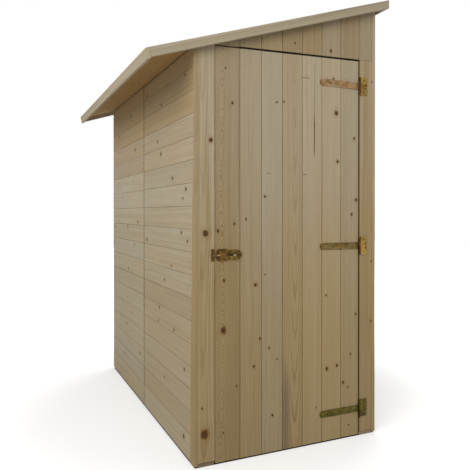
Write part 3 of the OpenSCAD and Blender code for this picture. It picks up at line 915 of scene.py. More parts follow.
def side_panel(context, node, face, knots=(), shade=0.0, hue=0.0, strip=None):
    """Builds one panel of a long wall, with an upright strip over its front ends if asked."""
    boards = context.scene.shed_boards
    draw = random.Random(f"{boards.seed} {node}")
    low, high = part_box(node)
    low_wall = face < 0
    back_panel = low.y > -0.01
    bm = new_timber()
    cuts = [roof_cut(boards.eave_gap if low_wall else 0.0)]
    if strip:
        edge = Vector((0.0, low.y + strip[0], low.z))
        lean = Vector((0.0, low.y + strip[1], high.z)) - edge
        outward = Vector((0.0, -lean.z, lean.y)).normalized()
        upright_high = Vector((high.x, low.y + max(strip), high.z))
        plank(bm, low, upright_high, Z, X, face, draw, 0.0, boards.arris, [roof_cut(), (edge, -outward)],
              knots=(), shade=shade - 0.04, hue=-0.15, jointed=False)
        cuts.append((edge, outward))
    joints = joints_between(low.z, high.z, boards.side_joint, boards.side_cover)
    for course, (bottom, top) in enumerate(zip(joints, joints[1:])):
        sunk = draw.uniform(0.0, SIDE_SINK)
        corner = Vector((low.x, low.y, bottom + (boards.joint_gap / 4 if course else boards.ground_gap)))
        far = Vector((high.x, high.y, top - boards.joint_gap / 4))
        if back_panel:
            corner.y += boards.panel_gap / 2
        else:
            far.y -= boards.panel_gap / 2
        if low_wall:
            corner.x += sunk
        else:
            far.x -= sunk
        own = [knot[1:] for knot in knots if knot[0] == course] if knots else None
        # The low wall is darker and warmer in its top courses as painted eave shadow, and pales towards the
        # ground
        eave = max(0.0, (course - 12) / 5) if low_wall else 0.0
        foot = max(0.0, 1 - course / 9) if low_wall else 0.0
        plank(bm, corner, far, Y, X, face, draw, boards.side_vee, boards.arris / 2, cuts, knots=own,
              calm=SIDE_CALM, shade=shade - 0.08 * eave, hue=hue + 0.2 * foot - 1.6 * eave,
              dark_ends=(DARK_END, 0.0) if back_panel else (0.0, DARK_END))
    name = node.replace("panel", "boards")
    finish_piece(name, bm, timber_finish(context, "tongued_boards"), "shed", "board_wood", node)


def upright_boards(bm, context, draw, low, high, joints, face, cuts=(), knots=None, marks=None):
    """Adds upright boards between joints, cut where a roof or rail needs it."""
    boards = context.scene.shed_boards
    for index, (left, right) in enumerate(zip(joints, joints[1:])):
        sunk = draw.uniform(0.0, UPRIGHT_SINK)
        corner = Vector((left + boards.joint_gap / 2, low.y, low.z))
        far = Vector((right - boards.joint_gap / 2, high.y, high.z))
        if face < 0:
            corner.y += sunk
        else:
            far.y -= sunk
        own = None if knots is None else knots.get(index, ())
        own_marks = {"dark_ends": (DARK_END, DARK_END), **(marks or {}).get(index, {})}
        plank(bm, corner, far, Z, Y, face, draw, boards.joint_vee, boards.arris, cuts, knots=own,
              calm=UPRIGHT_CALM, **own_marks)


def add_part(bm, part, turn=None, tarnish_and_shade=False, tarnish_and_shade_rim=False):
    """Adds a part with its faces outwards, in the second finish where tarnished and on a rim of patina and
    painted shade.
    """
    bmesh.ops.recalc_face_normals(part, faces=part.faces[:])
    for face in part.faces:
        face.material_index = int(tarnish_and_shade or (tarnish_and_shade_rim and face.normal.y > -0.9))
    join_part(bm, part, turn)


def metal_leaf(bm, square_x, round_x, mid_z, width, thick, ease=METAL_EASE, shoulder=None):
    """Adds a flat leaf with one square end and one round end, standing off the door's face."""
    part = bmesh.new()
    back_y = -OUT_Y
    radius = width / 2
    way = 1.0 if square_x > round_x else -1.0
    centre = Vector((round_x + way * radius, back_y, mid_z))
    top = part.verts.new(centre + Vector((0.0, 0.0, radius)))
    bottom = spin_point(part, top, centre, (0.0, 1.0, 0.0), -way * math.pi, ARC_STEPS)
    corners = [(square_x, radius)]
    if shoulder:
        wide_x, wide = shoulder
        corners = [(wide_x, radius), (wide_x, wide / 2), (square_x, wide / 2)]
    lower = [part.verts.new((x, back_y, mid_z - half)) for x, half in corners]
    upper = [part.verts.new((x, back_y, mid_z + half)) for x, half in reversed(corners)]
    chain = [bottom] + lower + upper + [top]
    for pair in zip(chain, chain[1:]):
        part.edges.new(pair)
    bmesh.ops.edgeloop_fill(part, edges=part.edges[:])
    pull_out(part, bmesh.ops.extrude_face_region(part, geom=part.faces[:]), (0.0, -thick, 0.0))
    front = min(vert.co.y for vert in part.verts)
    rim = [edge for edge in part.edges if all(abs(vert.co.y - front) < 1e-6 for vert in edge.verts)]
    bevel_edges(part, rim, ease)
    # Sides and eased rim take the dark finish: partly patina, partly painted shade along the edges
    add_part(bm, part, tarnish_and_shade_rim=True)


def metal_block(bm, low, high, tarnish_and_shade=False):
    """Adds a small block of metal with eased arrises."""
    part = box_part(bmesh.new(), Vector(low), Vector(high))
    bevel_edges(part, part.edges[:], METAL_EASE)
    # Sides and eased rim take the dark finish: partly patina, partly painted shade along the edges
    add_part(bm, part, tarnish_and_shade=tarnish_and_shade, tarnish_and_shade_rim=True)


def round_bar(bm, start, end, radius, ease=METAL_EASE, tarnish_and_shade=False):
    """Adds a round bar between two points, with eased ends."""
    part = bmesh.new()
    start, end = Vector(start), Vector(end)
    run = end - start
    segments = 24
    bmesh.ops.create_cone(
        part, cap_ends=True, segments=segments, radius1=radius, radius2=radius, depth=run.length)
    caps = [face for face in part.faces if len(face.verts) == segments]
    bevel_edges(part, list({edge for cap in caps for edge in cap.edges}), ease)
    add_part(bm, part, facing((start + end) / 2, run), tarnish_and_shade)


def screw(bm, place, radius=SCREW_R, spin=0.0, tarnish_and_shade=True):
    """Adds a screw head with a recess, standing off a front face."""
    part = bmesh.new()
    bmesh.ops.create_cone(
        part, cap_ends=True, segments=12, radius1=radius, radius2=radius * 0.78, depth=SCREW_RISE)
    bmesh.ops.translate(part, vec=(0.0, 0.0, SCREW_RISE / 2), verts=part.verts[:])
    top = max(part.faces, key=lambda face: face.calc_center_median().z)
    bmesh.ops.inset_individual(part, faces=[top], thickness=radius * 0.42, depth=0.0)
    bmesh.ops.inset_individual(part, faces=[top], thickness=radius * 0.06, depth=-SCREW_RISE * 0.8)
    add_part(bm, part, facing(place, (0.0, -1.0, 0.0)) @ Matrix.Rotation(spin, 4, "Z"), tarnish_and_shade)


def nail(bm, place, out, rise, radius=NAIL_R):
    """Adds a flat nail head on a face."""
    part = bmesh.new()
    bmesh.ops.create_cone(
        part, cap_ends=True, segments=8, radius1=radius, radius2=radius * 0.75, depth=rise)
    bmesh.ops.translate(part, vec=(0.0, 0.0, rise / 2), verts=part.verts[:])
    add_part(bm, part, facing(place, out))


def metal_piece(context, node, bm, tone, body, tarnish_and_shade=True):
    """Makes a mesh into the metal piece that stands for a node, with a tarnished finish for patina and
    painted shade.
    """
    second = zinc_finish(context, "tarnished") if tarnish_and_shade else None
    finish = zinc_finish(context, tone)
    finish_piece(f"{node}_metal", bm, finish, body, "zinc_brass", node, smooth=True, second=second)


class SHED_OT_side_walls(bpy.types.Operator):
    """Builds the level boards of the two long walls"""

    bl_idname = "shed.side_walls"
    bl_label = "Side Walls"

    def execute(self, context):
        side_panel(context, "left_wall_front_panel", -1, LOW_WALL_KNOTS, 0.0, 0.62, strip=LOW_STRIP)
        side_panel(context, "left_wall_back_panel", -1, (), 0.03, 0.68)
        side_panel(context, "right_wall_front_panel", 1, strip=HIGH_STRIP)
        side_panel(context, "right_wall_back_panel", 1)
        return {"FINISHED"}


class SHED_OT_end_walls(bpy.types.Operator):
    """Builds the upright boards of the door end and the back end"""

    bl_idname = "shed.end_walls"
    bl_label = "End Walls"

    def execute(self, context):
        boards = context.scene.shed_boards
        draw = random.Random(f"{boards.seed} ends")
        finish = timber_finish(context, "tongued_boards")
        under_head = head_cut(HEAD_GAP - RIGHT_BOARD_GAP)
        vee = boards.joint_vee * END_VEE_SHARE
        for node, knots, fit, cut, shade, hue in (
            ("front_left_board", LEFT_BOARD_KNOTS, boards.bolt_side_fit, roof_cut(), -0.055, 0.30),
            ("front_right_board", RIGHT_BOARD_KNOTS, 0.0, under_head, -0.10, -0.28),
        ):
            low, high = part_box(node)
            high.x += fit
            bm = new_timber()
            plank(bm, low, high, Z, Y, -1, draw, vee, boards.arris, [cut], knots=knots, shade=shade, hue=hue)
            finish_piece(f"{node}_timber", bm, finish, "shed", "board_wood", node)
        low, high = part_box("front_corner_batten")
        bm = new_timber()
        plank(bm, low, high, Z, Y, -1, draw, 0.0, CORNER_EASE, [roof_cut()], knots=(), shade=-0.03,
              hue=-0.1)
        finish_piece("front_corner_strip", bm, finish, "shed", "frame_wood", "front_corner_batten")
        bm = new_timber()
        self.head_boards(context, bm, draw)
        finish_piece("front_head_boards", bm, finish, "shed", "board_wood", "front_head_panel")
        low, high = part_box("back_wall_panel")
        joints = joints_between(low.x, high.x, low.x + boards.end_cover, boards.end_cover)
        bm = new_timber()
        upright_boards(bm, context, draw, low, high, joints, 1, [roof_cut()])
        finish_piece("back_wall_boards", bm, finish, "shed", "board_wood", "back_wall_panel")
        return {"FINISHED"}

    def head_boards(self, context, bm, draw):
        """The boards over the door: the first one closes the gap over the door towards the bolt."""
        boards = context.scene.shed_boards
        low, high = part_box("front_head_panel")
        joints = joints_between(low.x, high.x, boards.end_joint, boards.end_cover)
        first = joints[1] - joints[0]
        closing = Vector((HEAD_FIT - HEAD_GAP - HEAD_SLOPE * first, 0.0, first)).normalized()
        cuts = [roof_cut(), (Vector((low.x, 0.0, DOOR_TOP + HEAD_FIT)), -closing)]
        # The darker tones over the door are painted shadow of the bargeboard
        tones = {0: {**HEAD_NEAR, "dark_ends": (0.0, DARK_END)}}
        upright_boards(bm, context, draw, low, high, joints[:2], -1, cuts, {}, tones)
        cuts = [roof_cut(), head_cut(HEAD_GAP, -1.0)]
        tones = {index: HEAD_NEAR if index < HEAD_NEAR_BOARDS else HEAD_FAR for index in range(len(joints))}
        upright_boards(bm, context, draw, low, high, joints[1:], -1, cuts, HEAD_KNOTS, tones)


class SHED_OT_framing(bpy.types.Operator):
    """Builds the battens, posts, jambs and rails inside the walls"""

    bl_idname = "shed.framing"
    bl_label = "Framing"

    def execute(self, context):
        self.finish = timber_finish(context, "sawn_framing")
        self.draw_timber = random.Random(f"{context.scene.shed_boards.seed} framing")
        for side, name in ((-1, "left_wall"), (1, "right_wall")):
            self.side_frame(side, name)
        self.back_frame()
        self.door_frame()
        return {"FINISHED"}

    def batten(self, bm, low, high, along, depth, cuts=()):
        plank(bm, low, high, along, depth, 1, self.draw_timber, 0.0, BATTEN_EASE, cuts, per_metre=1.5)

    def piece(self, name, bm, node):
        finish_piece(f"{name}_timber", bm, self.finish, "shed", "frame_wood", node)

    def whole_batten(self, node, along, *cuts):
        bm = new_timber()
        self.batten(bm, *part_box(node), along, Y, cuts)
        self.piece(node, bm, node)

    def side_frame(self, side, name):
        x_low, x_high = sorted((side * IN_X, side * FRAME_X))
        top = soffit(x_high) + SPARE
        stud_places = (-FRAME_Y, -BATTEN_W / 2, FRAME_Y - BATTEN_W)
        bm = new_timber()
        for y in stud_places:
            self.batten(bm, (x_low, y, FLOOR_TOP), (x_high, y + BATTEN_W, top), Z, X, [roof_cut()])
        self.piece(f"{name}_stud", bm, f"{name}_studs")
        bm = new_timber()
        for start, end in zip(stud_places, stud_places[1:]):
            y_low = start + BATTEN_W
            for z in RAIL_BOTTOMS:
                self.batten(bm, (x_low, y_low, z), (x_high, end, z + BATTEN_W), Y, X)
            low = (x_low, y_low, soffit(x_low) - BATTEN_W)
            self.batten(bm, low, (x_high, end, top), Y, X, [roof_cut()])
        self.piece(f"{name}_rail", bm, f"{name}_rails")

    def sloping_rail(self, bm, x_low, x_high, y_low, y_high):
        point, normal = roof_cut(BATTEN_W)
        low = (x_low, y_low, soffit(x_low) - BATTEN_W - SPARE)
        high = (x_high, y_high, soffit(x_high) + SPARE)
        self.batten(bm, low, high, X, Y, [roof_cut(), (point, -normal)])

    def back_frame(self):
        post_places = (-IN_X, -BATTEN_W / 2, IN_X - BATTEN_W)
        bm = new_timber()
        for x in post_places:
            top = soffit(x + BATTEN_W) + SPARE
            self.batten(bm, (x, FRAME_Y, FLOOR_TOP), (x + BATTEN_W, IN_Y, top), Z, Y, [roof_cut()])
        self.piece("back_wall_post", bm, "back_wall_posts")
        bm = new_timber()
        for start, end in zip(post_places, post_places[1:]):
            x_low = start + BATTEN_W
            for z in RAIL_BOTTOMS:
                self.batten(bm, (x_low, FRAME_Y, z), (end, IN_Y, z + BATTEN_W), X, Y)
            self.sloping_rail(bm, x_low, end, FRAME_Y, IN_Y)
        self.piece("back_wall_rail", bm, "back_wall_rails")

    def door_frame(self):
        self.whole_batten("left_door_jamb", Z, roof_cut())
        self.whole_batten("right_door_jamb", Z, roof_cut())
        self.whole_batten("frame_door_stop", Z)
        self.whole_batten(
            "door_head_rail", X, roof_cut(), head_cut(HEAD_GAP, -1.0), head_cut(HEAD_GAP + BATTEN_W))
        low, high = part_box("front_top_rail")
        bm = new_timber()
        self.sloping_rail(bm, low.x, high.x, low.y, high.y)
        self.piece("front_top_rail", bm, "front_top_rail")
        low = (SLOPE_W / 2, -FRAME_Y, -PURLIN_H)
        high = (SLOPE_W / 2 + BATTEN_W, FRAME_Y, 0.0)
        bm = new_timber()
        plank(bm, low, high, Y, X, 1, self.draw_timber, 0.0, PURLIN_EASE, turn=ON_ROOF)
        self.piece("roof_purlin", bm, "roof_purlin")


class SHED_OT_floor(bpy.types.Operator):
    """Builds the floor boards and their bearers"""

    bl_idname = "shed.floor"
    bl_label = "Floor"

    def execute(self, context):
        boards = context.scene.shed_boards
        draw = random.Random(f"{boards.seed} floor")
        low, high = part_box("floor_bearers")
        pitch = (high.y - low.y - BEARER_W) / (BEARERS - 1)
        bm = new_timber()
        for index in range(BEARERS):
            y = low.y + index * pitch
            plank(bm, (low.x, y, low.z), (high.x, y + BEARER_W, high.z), X, Y, -1, draw, 0.0, BATTEN_EASE)
        left_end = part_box("front_left_board")[1].x
        right_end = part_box("front_right_board")[0].x
        # The soles are darkened as painted shade under the end boards
        for start, end, shade in ((low.x, left_end, -0.5), (right_end, high.x, -0.25)):
            sole_low = (start, -OUT_Y + SOLE_INSET, 0.0)
            plank(bm, sole_low, (end, low.y, SOLE_H), X, Y, -1, draw, 0.0, SOLE_EASE, shade=shade)
        finish = timber_finish(context, "sawn_framing")
        finish_piece("floor_bearer_timber", bm, finish, "shed", "frame_wood", "floor_bearers")
        low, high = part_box("floor_boards")
        joints = joints_between(low.x, high.x, low.x + boards.floor_cover, boards.floor_cover)
        gap = boards.joint_gap / 2
        bm = new_timber()
        for left, right in zip(joints, joints[1:]):
            top = high.z - draw.uniform(0.0, FLOOR_SINK)
            plank(bm, (left + gap, low.y, low.z), (right - gap, high.y, top), Y, Z, 1, draw, FLOOR_VEE,
                  boards.arris)
        finish = timber_finish(context, "tongued_boards")
        finish_piece("floor_board_timber", bm, finish, "shed", "board_wood", "floor_boards")
        return {"FINISHED"}


class SHED_OT_roof(bpy.types.Operator):
    """Builds the roof boards, the felt and the trims along its edges"""

    bl_idname = "shed.roof"
    bl_label = "Roof"

    def execute(self, context):
        boards = context.scene.shed_boards
        draw = random.Random(f"{boards.seed} roof")
        joints = joints_between(DECK_LOW, DECK_HIGH, DECK_LOW + boards.roof_cover, boards.roof_cover)
        bm = new_timber()
        for left, right in zip(joints, joints[1:]):
            plank(bm, (left + DECK_GAP, -DECK_Y, 0.0), (right - DECK_GAP, DECK_Y, DECK_T), Y, Z, -1, draw,
                  DECK_VEE, DECK_EASE, turn=ON_ROOF)
        finish = timber_finish(context, "roof_boards")
        finish_piece("roof_deck_boards", bm, finish, "shed", "board_wood", "roof_deck")
        self.trims(context, draw)
        self.felt(context)
        return {"FINISHED"}

    def trims(self, context, draw):
        """The edge boards: the fascia leans out a little and the high ends are cut plumb."""
        top = FELT_TOP
        foot = top - TRIM_H
        outer = DECK_Y + TRIM_T
        start = DECK_LOW - TRIM_T
        end = DECK_HIGH + 2 * TRIM_T
        at_fascia = (Vector((DECK_LOW, 0.0, top)), Vector((-1.0, 0.0, FASCIA_LEAN)))
        plumb_at = Vector((DECK_HIGH + TRIM_T - PLUMB_INSET, 0.0, top - PLUMB_DEPTH))
        plumb = (plumb_at, Vector((1.0, 0.0, -math.tan(ROOF_PITCH))))
        lean = Matrix.Identity(4)
        lean[0][2] = FASCIA_LEAN
        up = Matrix.Translation((0.0, 0.0, top))
        down = Matrix.Translation((0.0, 0.0, -top))
        leaning = ON_ROOF @ up @ lean @ down
        cuts = [at_fascia, plumb]
        for node, low, high, along, depth, face, marks in (
            ("front_bargeboard", (start, -outer, foot), (end, -DECK_Y, top), X, Y, -1,
             {"cuts": cuts, "knots": (), "shade": -0.08}),
            ("back_bargeboard", (start, DECK_Y, foot), (end, outer, top), X, Y, 1,
             {"cuts": cuts, "shade": -0.09}),
            ("eave_fascia", (start, -outer, foot - FASCIA_DROP), (DECK_LOW, outer, top), Y, X, -1,
             {"turn": leaning, "knots": (), "shade": 0.02}),
            ("high_fascia", (DECK_HIGH, -DECK_Y, foot), (end, DECK_Y, top), Y, X, 1,
             {"cuts": [plumb], "shade": -0.02}),
        ):
            bm = new_timber()
            plank(bm, low, high, along, depth, face, draw, 0.0, TRIM_EASE,
                  **{"turn": ON_ROOF, "per_metre": 1.2, **marks})
            finish = timber_finish(context, "planed_trim")
            finish_piece(f"{node}_timber", bm, finish, "shed", "trim_wood", node)

    def felt(self, context):
        """Two widths of felt, the upper one lapped over the lower."""
        finish = mineral_felt("mineral_felt", linear(context.scene.shed_finishes.felt))
        bm = bmesh.new()
        for start, end, top in ((DECK_LOW, LAP_HIGH, FELT_TOP - LAP_STEP), (LAP_LOW, DECK_HIGH, FELT_TOP)):
            part = box_part(bmesh.new(), Vector((start, -DECK_Y, DECK_T)), Vector((end, DECK_Y, top)))
            bevel_edges(part, part.edges[:], FELT_EASE)
            add_part(bm, part, ON_ROOF)
        finish_piece("roof_felt_sheets", bm, finish, "shed", "roof_felt", "roof_felt")


class SHED_OT_door(bpy.types.Operator):
    """Builds the boards, ledges and braces of the door"""

    bl_idname = "shed.door"
    bl_label = "Door"

    def execute(self, context):
        boards = context.scene.shed_boards
        draw = random.Random(f"{boards.seed} door")
        low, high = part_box("door_boards")
        low.x -= boards.bolt_side_fit
        low.z -= boards.foot_fit
        joints = joints_between(low.x, high.x, boards.end_joint, boards.end_cover)
        knots = dict(enumerate(DOOR_KNOTS))
        bm = new_timber()
        upright_boards(bm, context, draw, low, high, joints, -1, [head_cut(0.0)], knots, DOOR_MARKS)
        finish = timber_finish(context, "tongued_boards")
        finish_piece("door_board_timber", bm, finish, "door", "board_wood", "door_boards")
        self.ledges_and_braces(context, draw)
        return {"FINISHED"}

    def ledges_and_braces(self, context, draw):
        """Three ledges across the back of the door, and a brace between each two."""
        finish = timber_finish(context, "sawn_framing")
        low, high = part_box("door_ledges")
        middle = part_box("middle_hinge_strap")[0].z + (STRAP_W - LEDGE_W) / 2
        bottoms = (low.z, middle, high.z - LEDGE_W)
        bm = new_timber()
        for z in bottoms:
            plank(bm, (low.x, low.y, z), (high.x, high.y, z + LEDGE_W), X, Y, 1, draw, LEDGE_VEE,
                  BATTEN_EASE)
        finish_piece("door_ledge_timber", bm, finish, "door", "frame_wood", "door_ledges")
        bm = new_timber()
        for lower, upper in zip(bottoms, bottoms[1:]):
            z_low = lower + LEDGE_W
            rise = upper - z_low
            slant = Matrix.Identity(4)
            slant[0][2] = -(high.x - low.x - BRACE_W) / rise
            turn = Matrix.Translation((0.0, 0.0, z_low)) @ slant
            plank(bm, (high.x - BRACE_W, low.y, 0.0), (high.x, high.y, rise), Z, Y, 1, draw, LEDGE_VEE,
                  BATTEN_EASE, turn=turn)
        finish_piece("door_brace_timber", bm, finish, "door", "frame_wood", "door_braces")


class SHED_OT_hinges(bpy.types.Operator):
    """Builds the three T hinges with their screws"""

    bl_idname = "shed.hinges"
    bl_label = "Hinges"

    def execute(self, context):
        for name, tone in (("top", "copper"), ("middle", "brass"), ("bottom", "olive")):
            low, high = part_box(f"{name}_hinge_strap")
            plate_tone = "olive" if tone == "olive" else "gold"
            z = (low.z + high.z) / 2
            self.strap(context, f"{name}_hinge_strap", tone, z)
            self.plate(context, f"{name}_hinge_plate", plate_tone, z)
            self.pin(context, f"{name}_hinge_pin", plate_tone, z)
        return {"FINISHED"}

    def barrel(self, bm, bottom, top, radius, tarnish_and_shade=False):
        """A round bar on the hinge's axis."""
        round_bar(bm, (HINGE_X, HINGE_Y, bottom), (HINGE_X, HINGE_Y, top), radius, tarnish_and_shade=tarnish_and_shade)

    def strap(self, context, node, tone, z):
        bm = bmesh.new()
        metal_leaf(bm, HINGE_X, HINGE_X - STRAP_LEN, z, STRAP_W, LEAF_T, STRAP_EASE)
        self.barrel(bm, z - STRAP_W / 2, z + STRAP_W / 2, KNUCKLE_R, tarnish_and_shade=True)
        for index, (off, aside) in enumerate(STRAP_SCREWS):
            screw(bm, (HINGE_X - off, -OUT_Y - LEAF_T, z + aside), spin=0.4 * index, tarnish_and_shade=False)
        metal_piece(context, node, bm, tone, "door")

    def plate(self, context, node, tone, z):
        bm = bmesh.new()
        left = HINGE_X + LEAF_GAP
        bottom, top = z - PLATE_H / 2, z + PLATE_H / 2
        metal_block(bm, (left, -OUT_Y - LEAF_T, bottom), (left + PLATE_W, -OUT_Y, top))
        knuckle_h = (PLATE_H - STRAP_W) / 2 - KNUCKLE_END_GAP
        for start in (bottom, top - knuckle_h):
            self.barrel(bm, start, start + knuckle_h, KNUCKLE_R, tarnish_and_shade=True)
            web_end = (left + METAL_OVERLAP, -OUT_Y, start + knuckle_h)
            metal_block(bm, (HINGE_X, -OUT_Y - LEAF_T, start), web_end)
        for index, (off, aside) in enumerate(PLATE_SCREWS):
            screw(bm, (left + off, -OUT_Y - LEAF_T, z + aside), spin=0.5 * index)
        metal_piece(context, node, bm, tone, "shed")

    def pin(self, context, node, tone, z):
        bm = bmesh.new()
        bottom, top = z - PLATE_H / 2, z + PLATE_H / 2
        self.barrel(bm, bottom - PIN_HEAD_H, top + PIN_HEAD_H, PIN_R)
        for end in (bottom - PIN_HEAD_H, top):
            self.barrel(bm, end, end + PIN_HEAD_H, PIN_HEAD_R)
        metal_piece(context, node, bm, tone, "shed", tarnish_and_shade=False)


class SHED_OT_bolt(bpy.types.Operator):
    """Builds the sliding bolt, its plate and its keep"""

    bl_idname = "shed.bolt"
    bl_label = "Bolt"

    def execute(self, context):
        self.plate(context)
        self.rod(context)
        self.keep(context)
        return {"FINISHED"}

    def plate(self, context):
        """The plate with its cover and loop, and a thin dark strip at its square end as painted shade by the
        keep.
        """
        low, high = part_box("bolt_plate")
        bm = bmesh.new()
        strip_low = (low.x - SIDE_STRIP.x, -OUT_Y - SIDE_STRIP.y, BOLT_Z - SIDE_STRIP.z)
        metal_block(bm, strip_low, (low.x + METAL_OVERLAP, -OUT_Y, BOLT_Z + SIDE_STRIP.z), tarnish_and_shade=True)
        shoulder = (low.x + SHOULDER_X, SHOULDER_H)
        metal_leaf(bm, low.x, high.x, BOLT_Z, BOLT_PLATE_H, BOLT_PLATE_T, shoulder=shoulder)
        self.cover(bm, low.x + COVER_X)
        self.loop(bm, low.x + LOOP_X, LOOP_LEN)
        for index, (off, aside, radius) in enumerate(BOLT_SCREWS):
            screw(bm, (low.x + off, -OUT_Y - BOLT_PLATE_T, BOLT_Z + aside), radius, spin=0.6 * index)
        metal_piece(context, "bolt_plate", bm, "bronze", "door")

    def cover(self, bm, start):
        """The low arch that the bolt runs in, its ends turned down and its edges eased."""
        radius = (COVER_HALF * COVER_HALF + COVER_RISE * COVER_RISE) / (2 * COVER_RISE)
        centre = Vector((start, -OUT_Y - COVER_RISE + radius, BOLT_Z))
        part = bmesh.new()
        foot = part.verts.new((start, -OUT_Y, BOLT_Z + COVER_HALF))
        angle = 2 * math.asin(COVER_HALF / radius)
        end = spin_point(part, foot, centre, (1.0, 0.0, 0.0), angle, COVER_STEPS)
        part.edges.new((end, foot))
        bmesh.ops.edgeloop_fill(part, edges=part.edges[:])
        pull_out(part, bmesh.ops.extrude_face_region(part, geom=part.faces[:]), (COVER_LEN, 0.0, 0.0))
        ends = [face for face in part.faces if abs(face.normal.x) > 0.9]
        bevel_edges(part, list({edge for face in ends for edge in face.edges}), COVER_EASE, segments=3)
        add_part(bm, part)

    def loop(self, bm, start, length):
        """A pressed band over the bolt, its two feet on the plate."""
        part = bmesh.new()
        foot_y = -OUT_Y - BOLT_PLATE_T / 2
        foot = part.verts.new((start, foot_y, BOLT_Z + LOOP_R))
        crown = part.verts.new((start, BOLT_Y, BOLT_Z + LOOP_R))
        part.edges.new((foot, crown))
        end = spin_point(part, crown, (start, BOLT_Y, BOLT_Z), (1.0, 0.0, 0.0), math.pi, ARC_STEPS)
        last = part.verts.new((start, foot_y, BOLT_Z - LOOP_R))
        part.edges.new((end, last))
        pull_out(part, bmesh.ops.extrude_edge_only(part, edges=part.edges[:]), (length, 0.0, 0.0))
        outward = sum(face.normal.y * (face.calc_center_median().y - BOLT_Y) for face in part.faces)
        if outward < 0:
            bmesh.ops.reverse_faces(part, faces=part.faces[:])
        bmesh.ops.solidify(part, geom=part.faces[:], thickness=LOOP_T)
        add_part(bm, part)

    def rod(self, context):
        low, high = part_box("bolt_rod")
        bm = bmesh.new()
        plate_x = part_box("bolt_plate")[0].x
        seen_x = plate_x + ROD_SEEN_X
        round_bar(bm, (low.x, BOLT_Y, BOLT_Z), (seen_x, BOLT_Y, BOLT_Z), BOLT_R, BOLT_EASE)
        round_bar(bm, (seen_x, BOLT_Y, BOLT_Z), (high.x, BOLT_Y, BOLT_Z), BOLT_R, BOLT_EASE, tarnish_and_shade=True)
        knob = Vector((plate_x + KNOB_X, low.y + KNOB_R, BOLT_Z))
        round_bar(bm, (knob.x, BOLT_Y, BOLT_Z), knob, KNOB_STEM_R)
        part = bmesh.new()
        bmesh.ops.create_uvsphere(part, u_segments=24, v_segments=14, radius=KNOB_R)
        add_part(bm, part, Matrix.Translation(knob))
        metal_piece(context, "bolt_rod", bm, "rubbed", "bolt")

    def keep(self, context):
        low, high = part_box("bolt_keep")
        bm = bmesh.new()
        metal_block(bm, (low.x, -OUT_Y - BOLT_PLATE_T, low.z), (high.x, -OUT_Y, high.z))
        self.loop(bm, low.x, high.x - low.x)
        middle = (low.x + high.x) / 2
        for aside in (KEEP_SCREW_UP, -KEEP_SCREW_UP):
            screw(bm, (middle, -OUT_Y - BOLT_PLATE_T, BOLT_Z + aside), KEEP_SCREW_R)
        metal_piece(context, "bolt_keep", bm, "bronze", "shed")


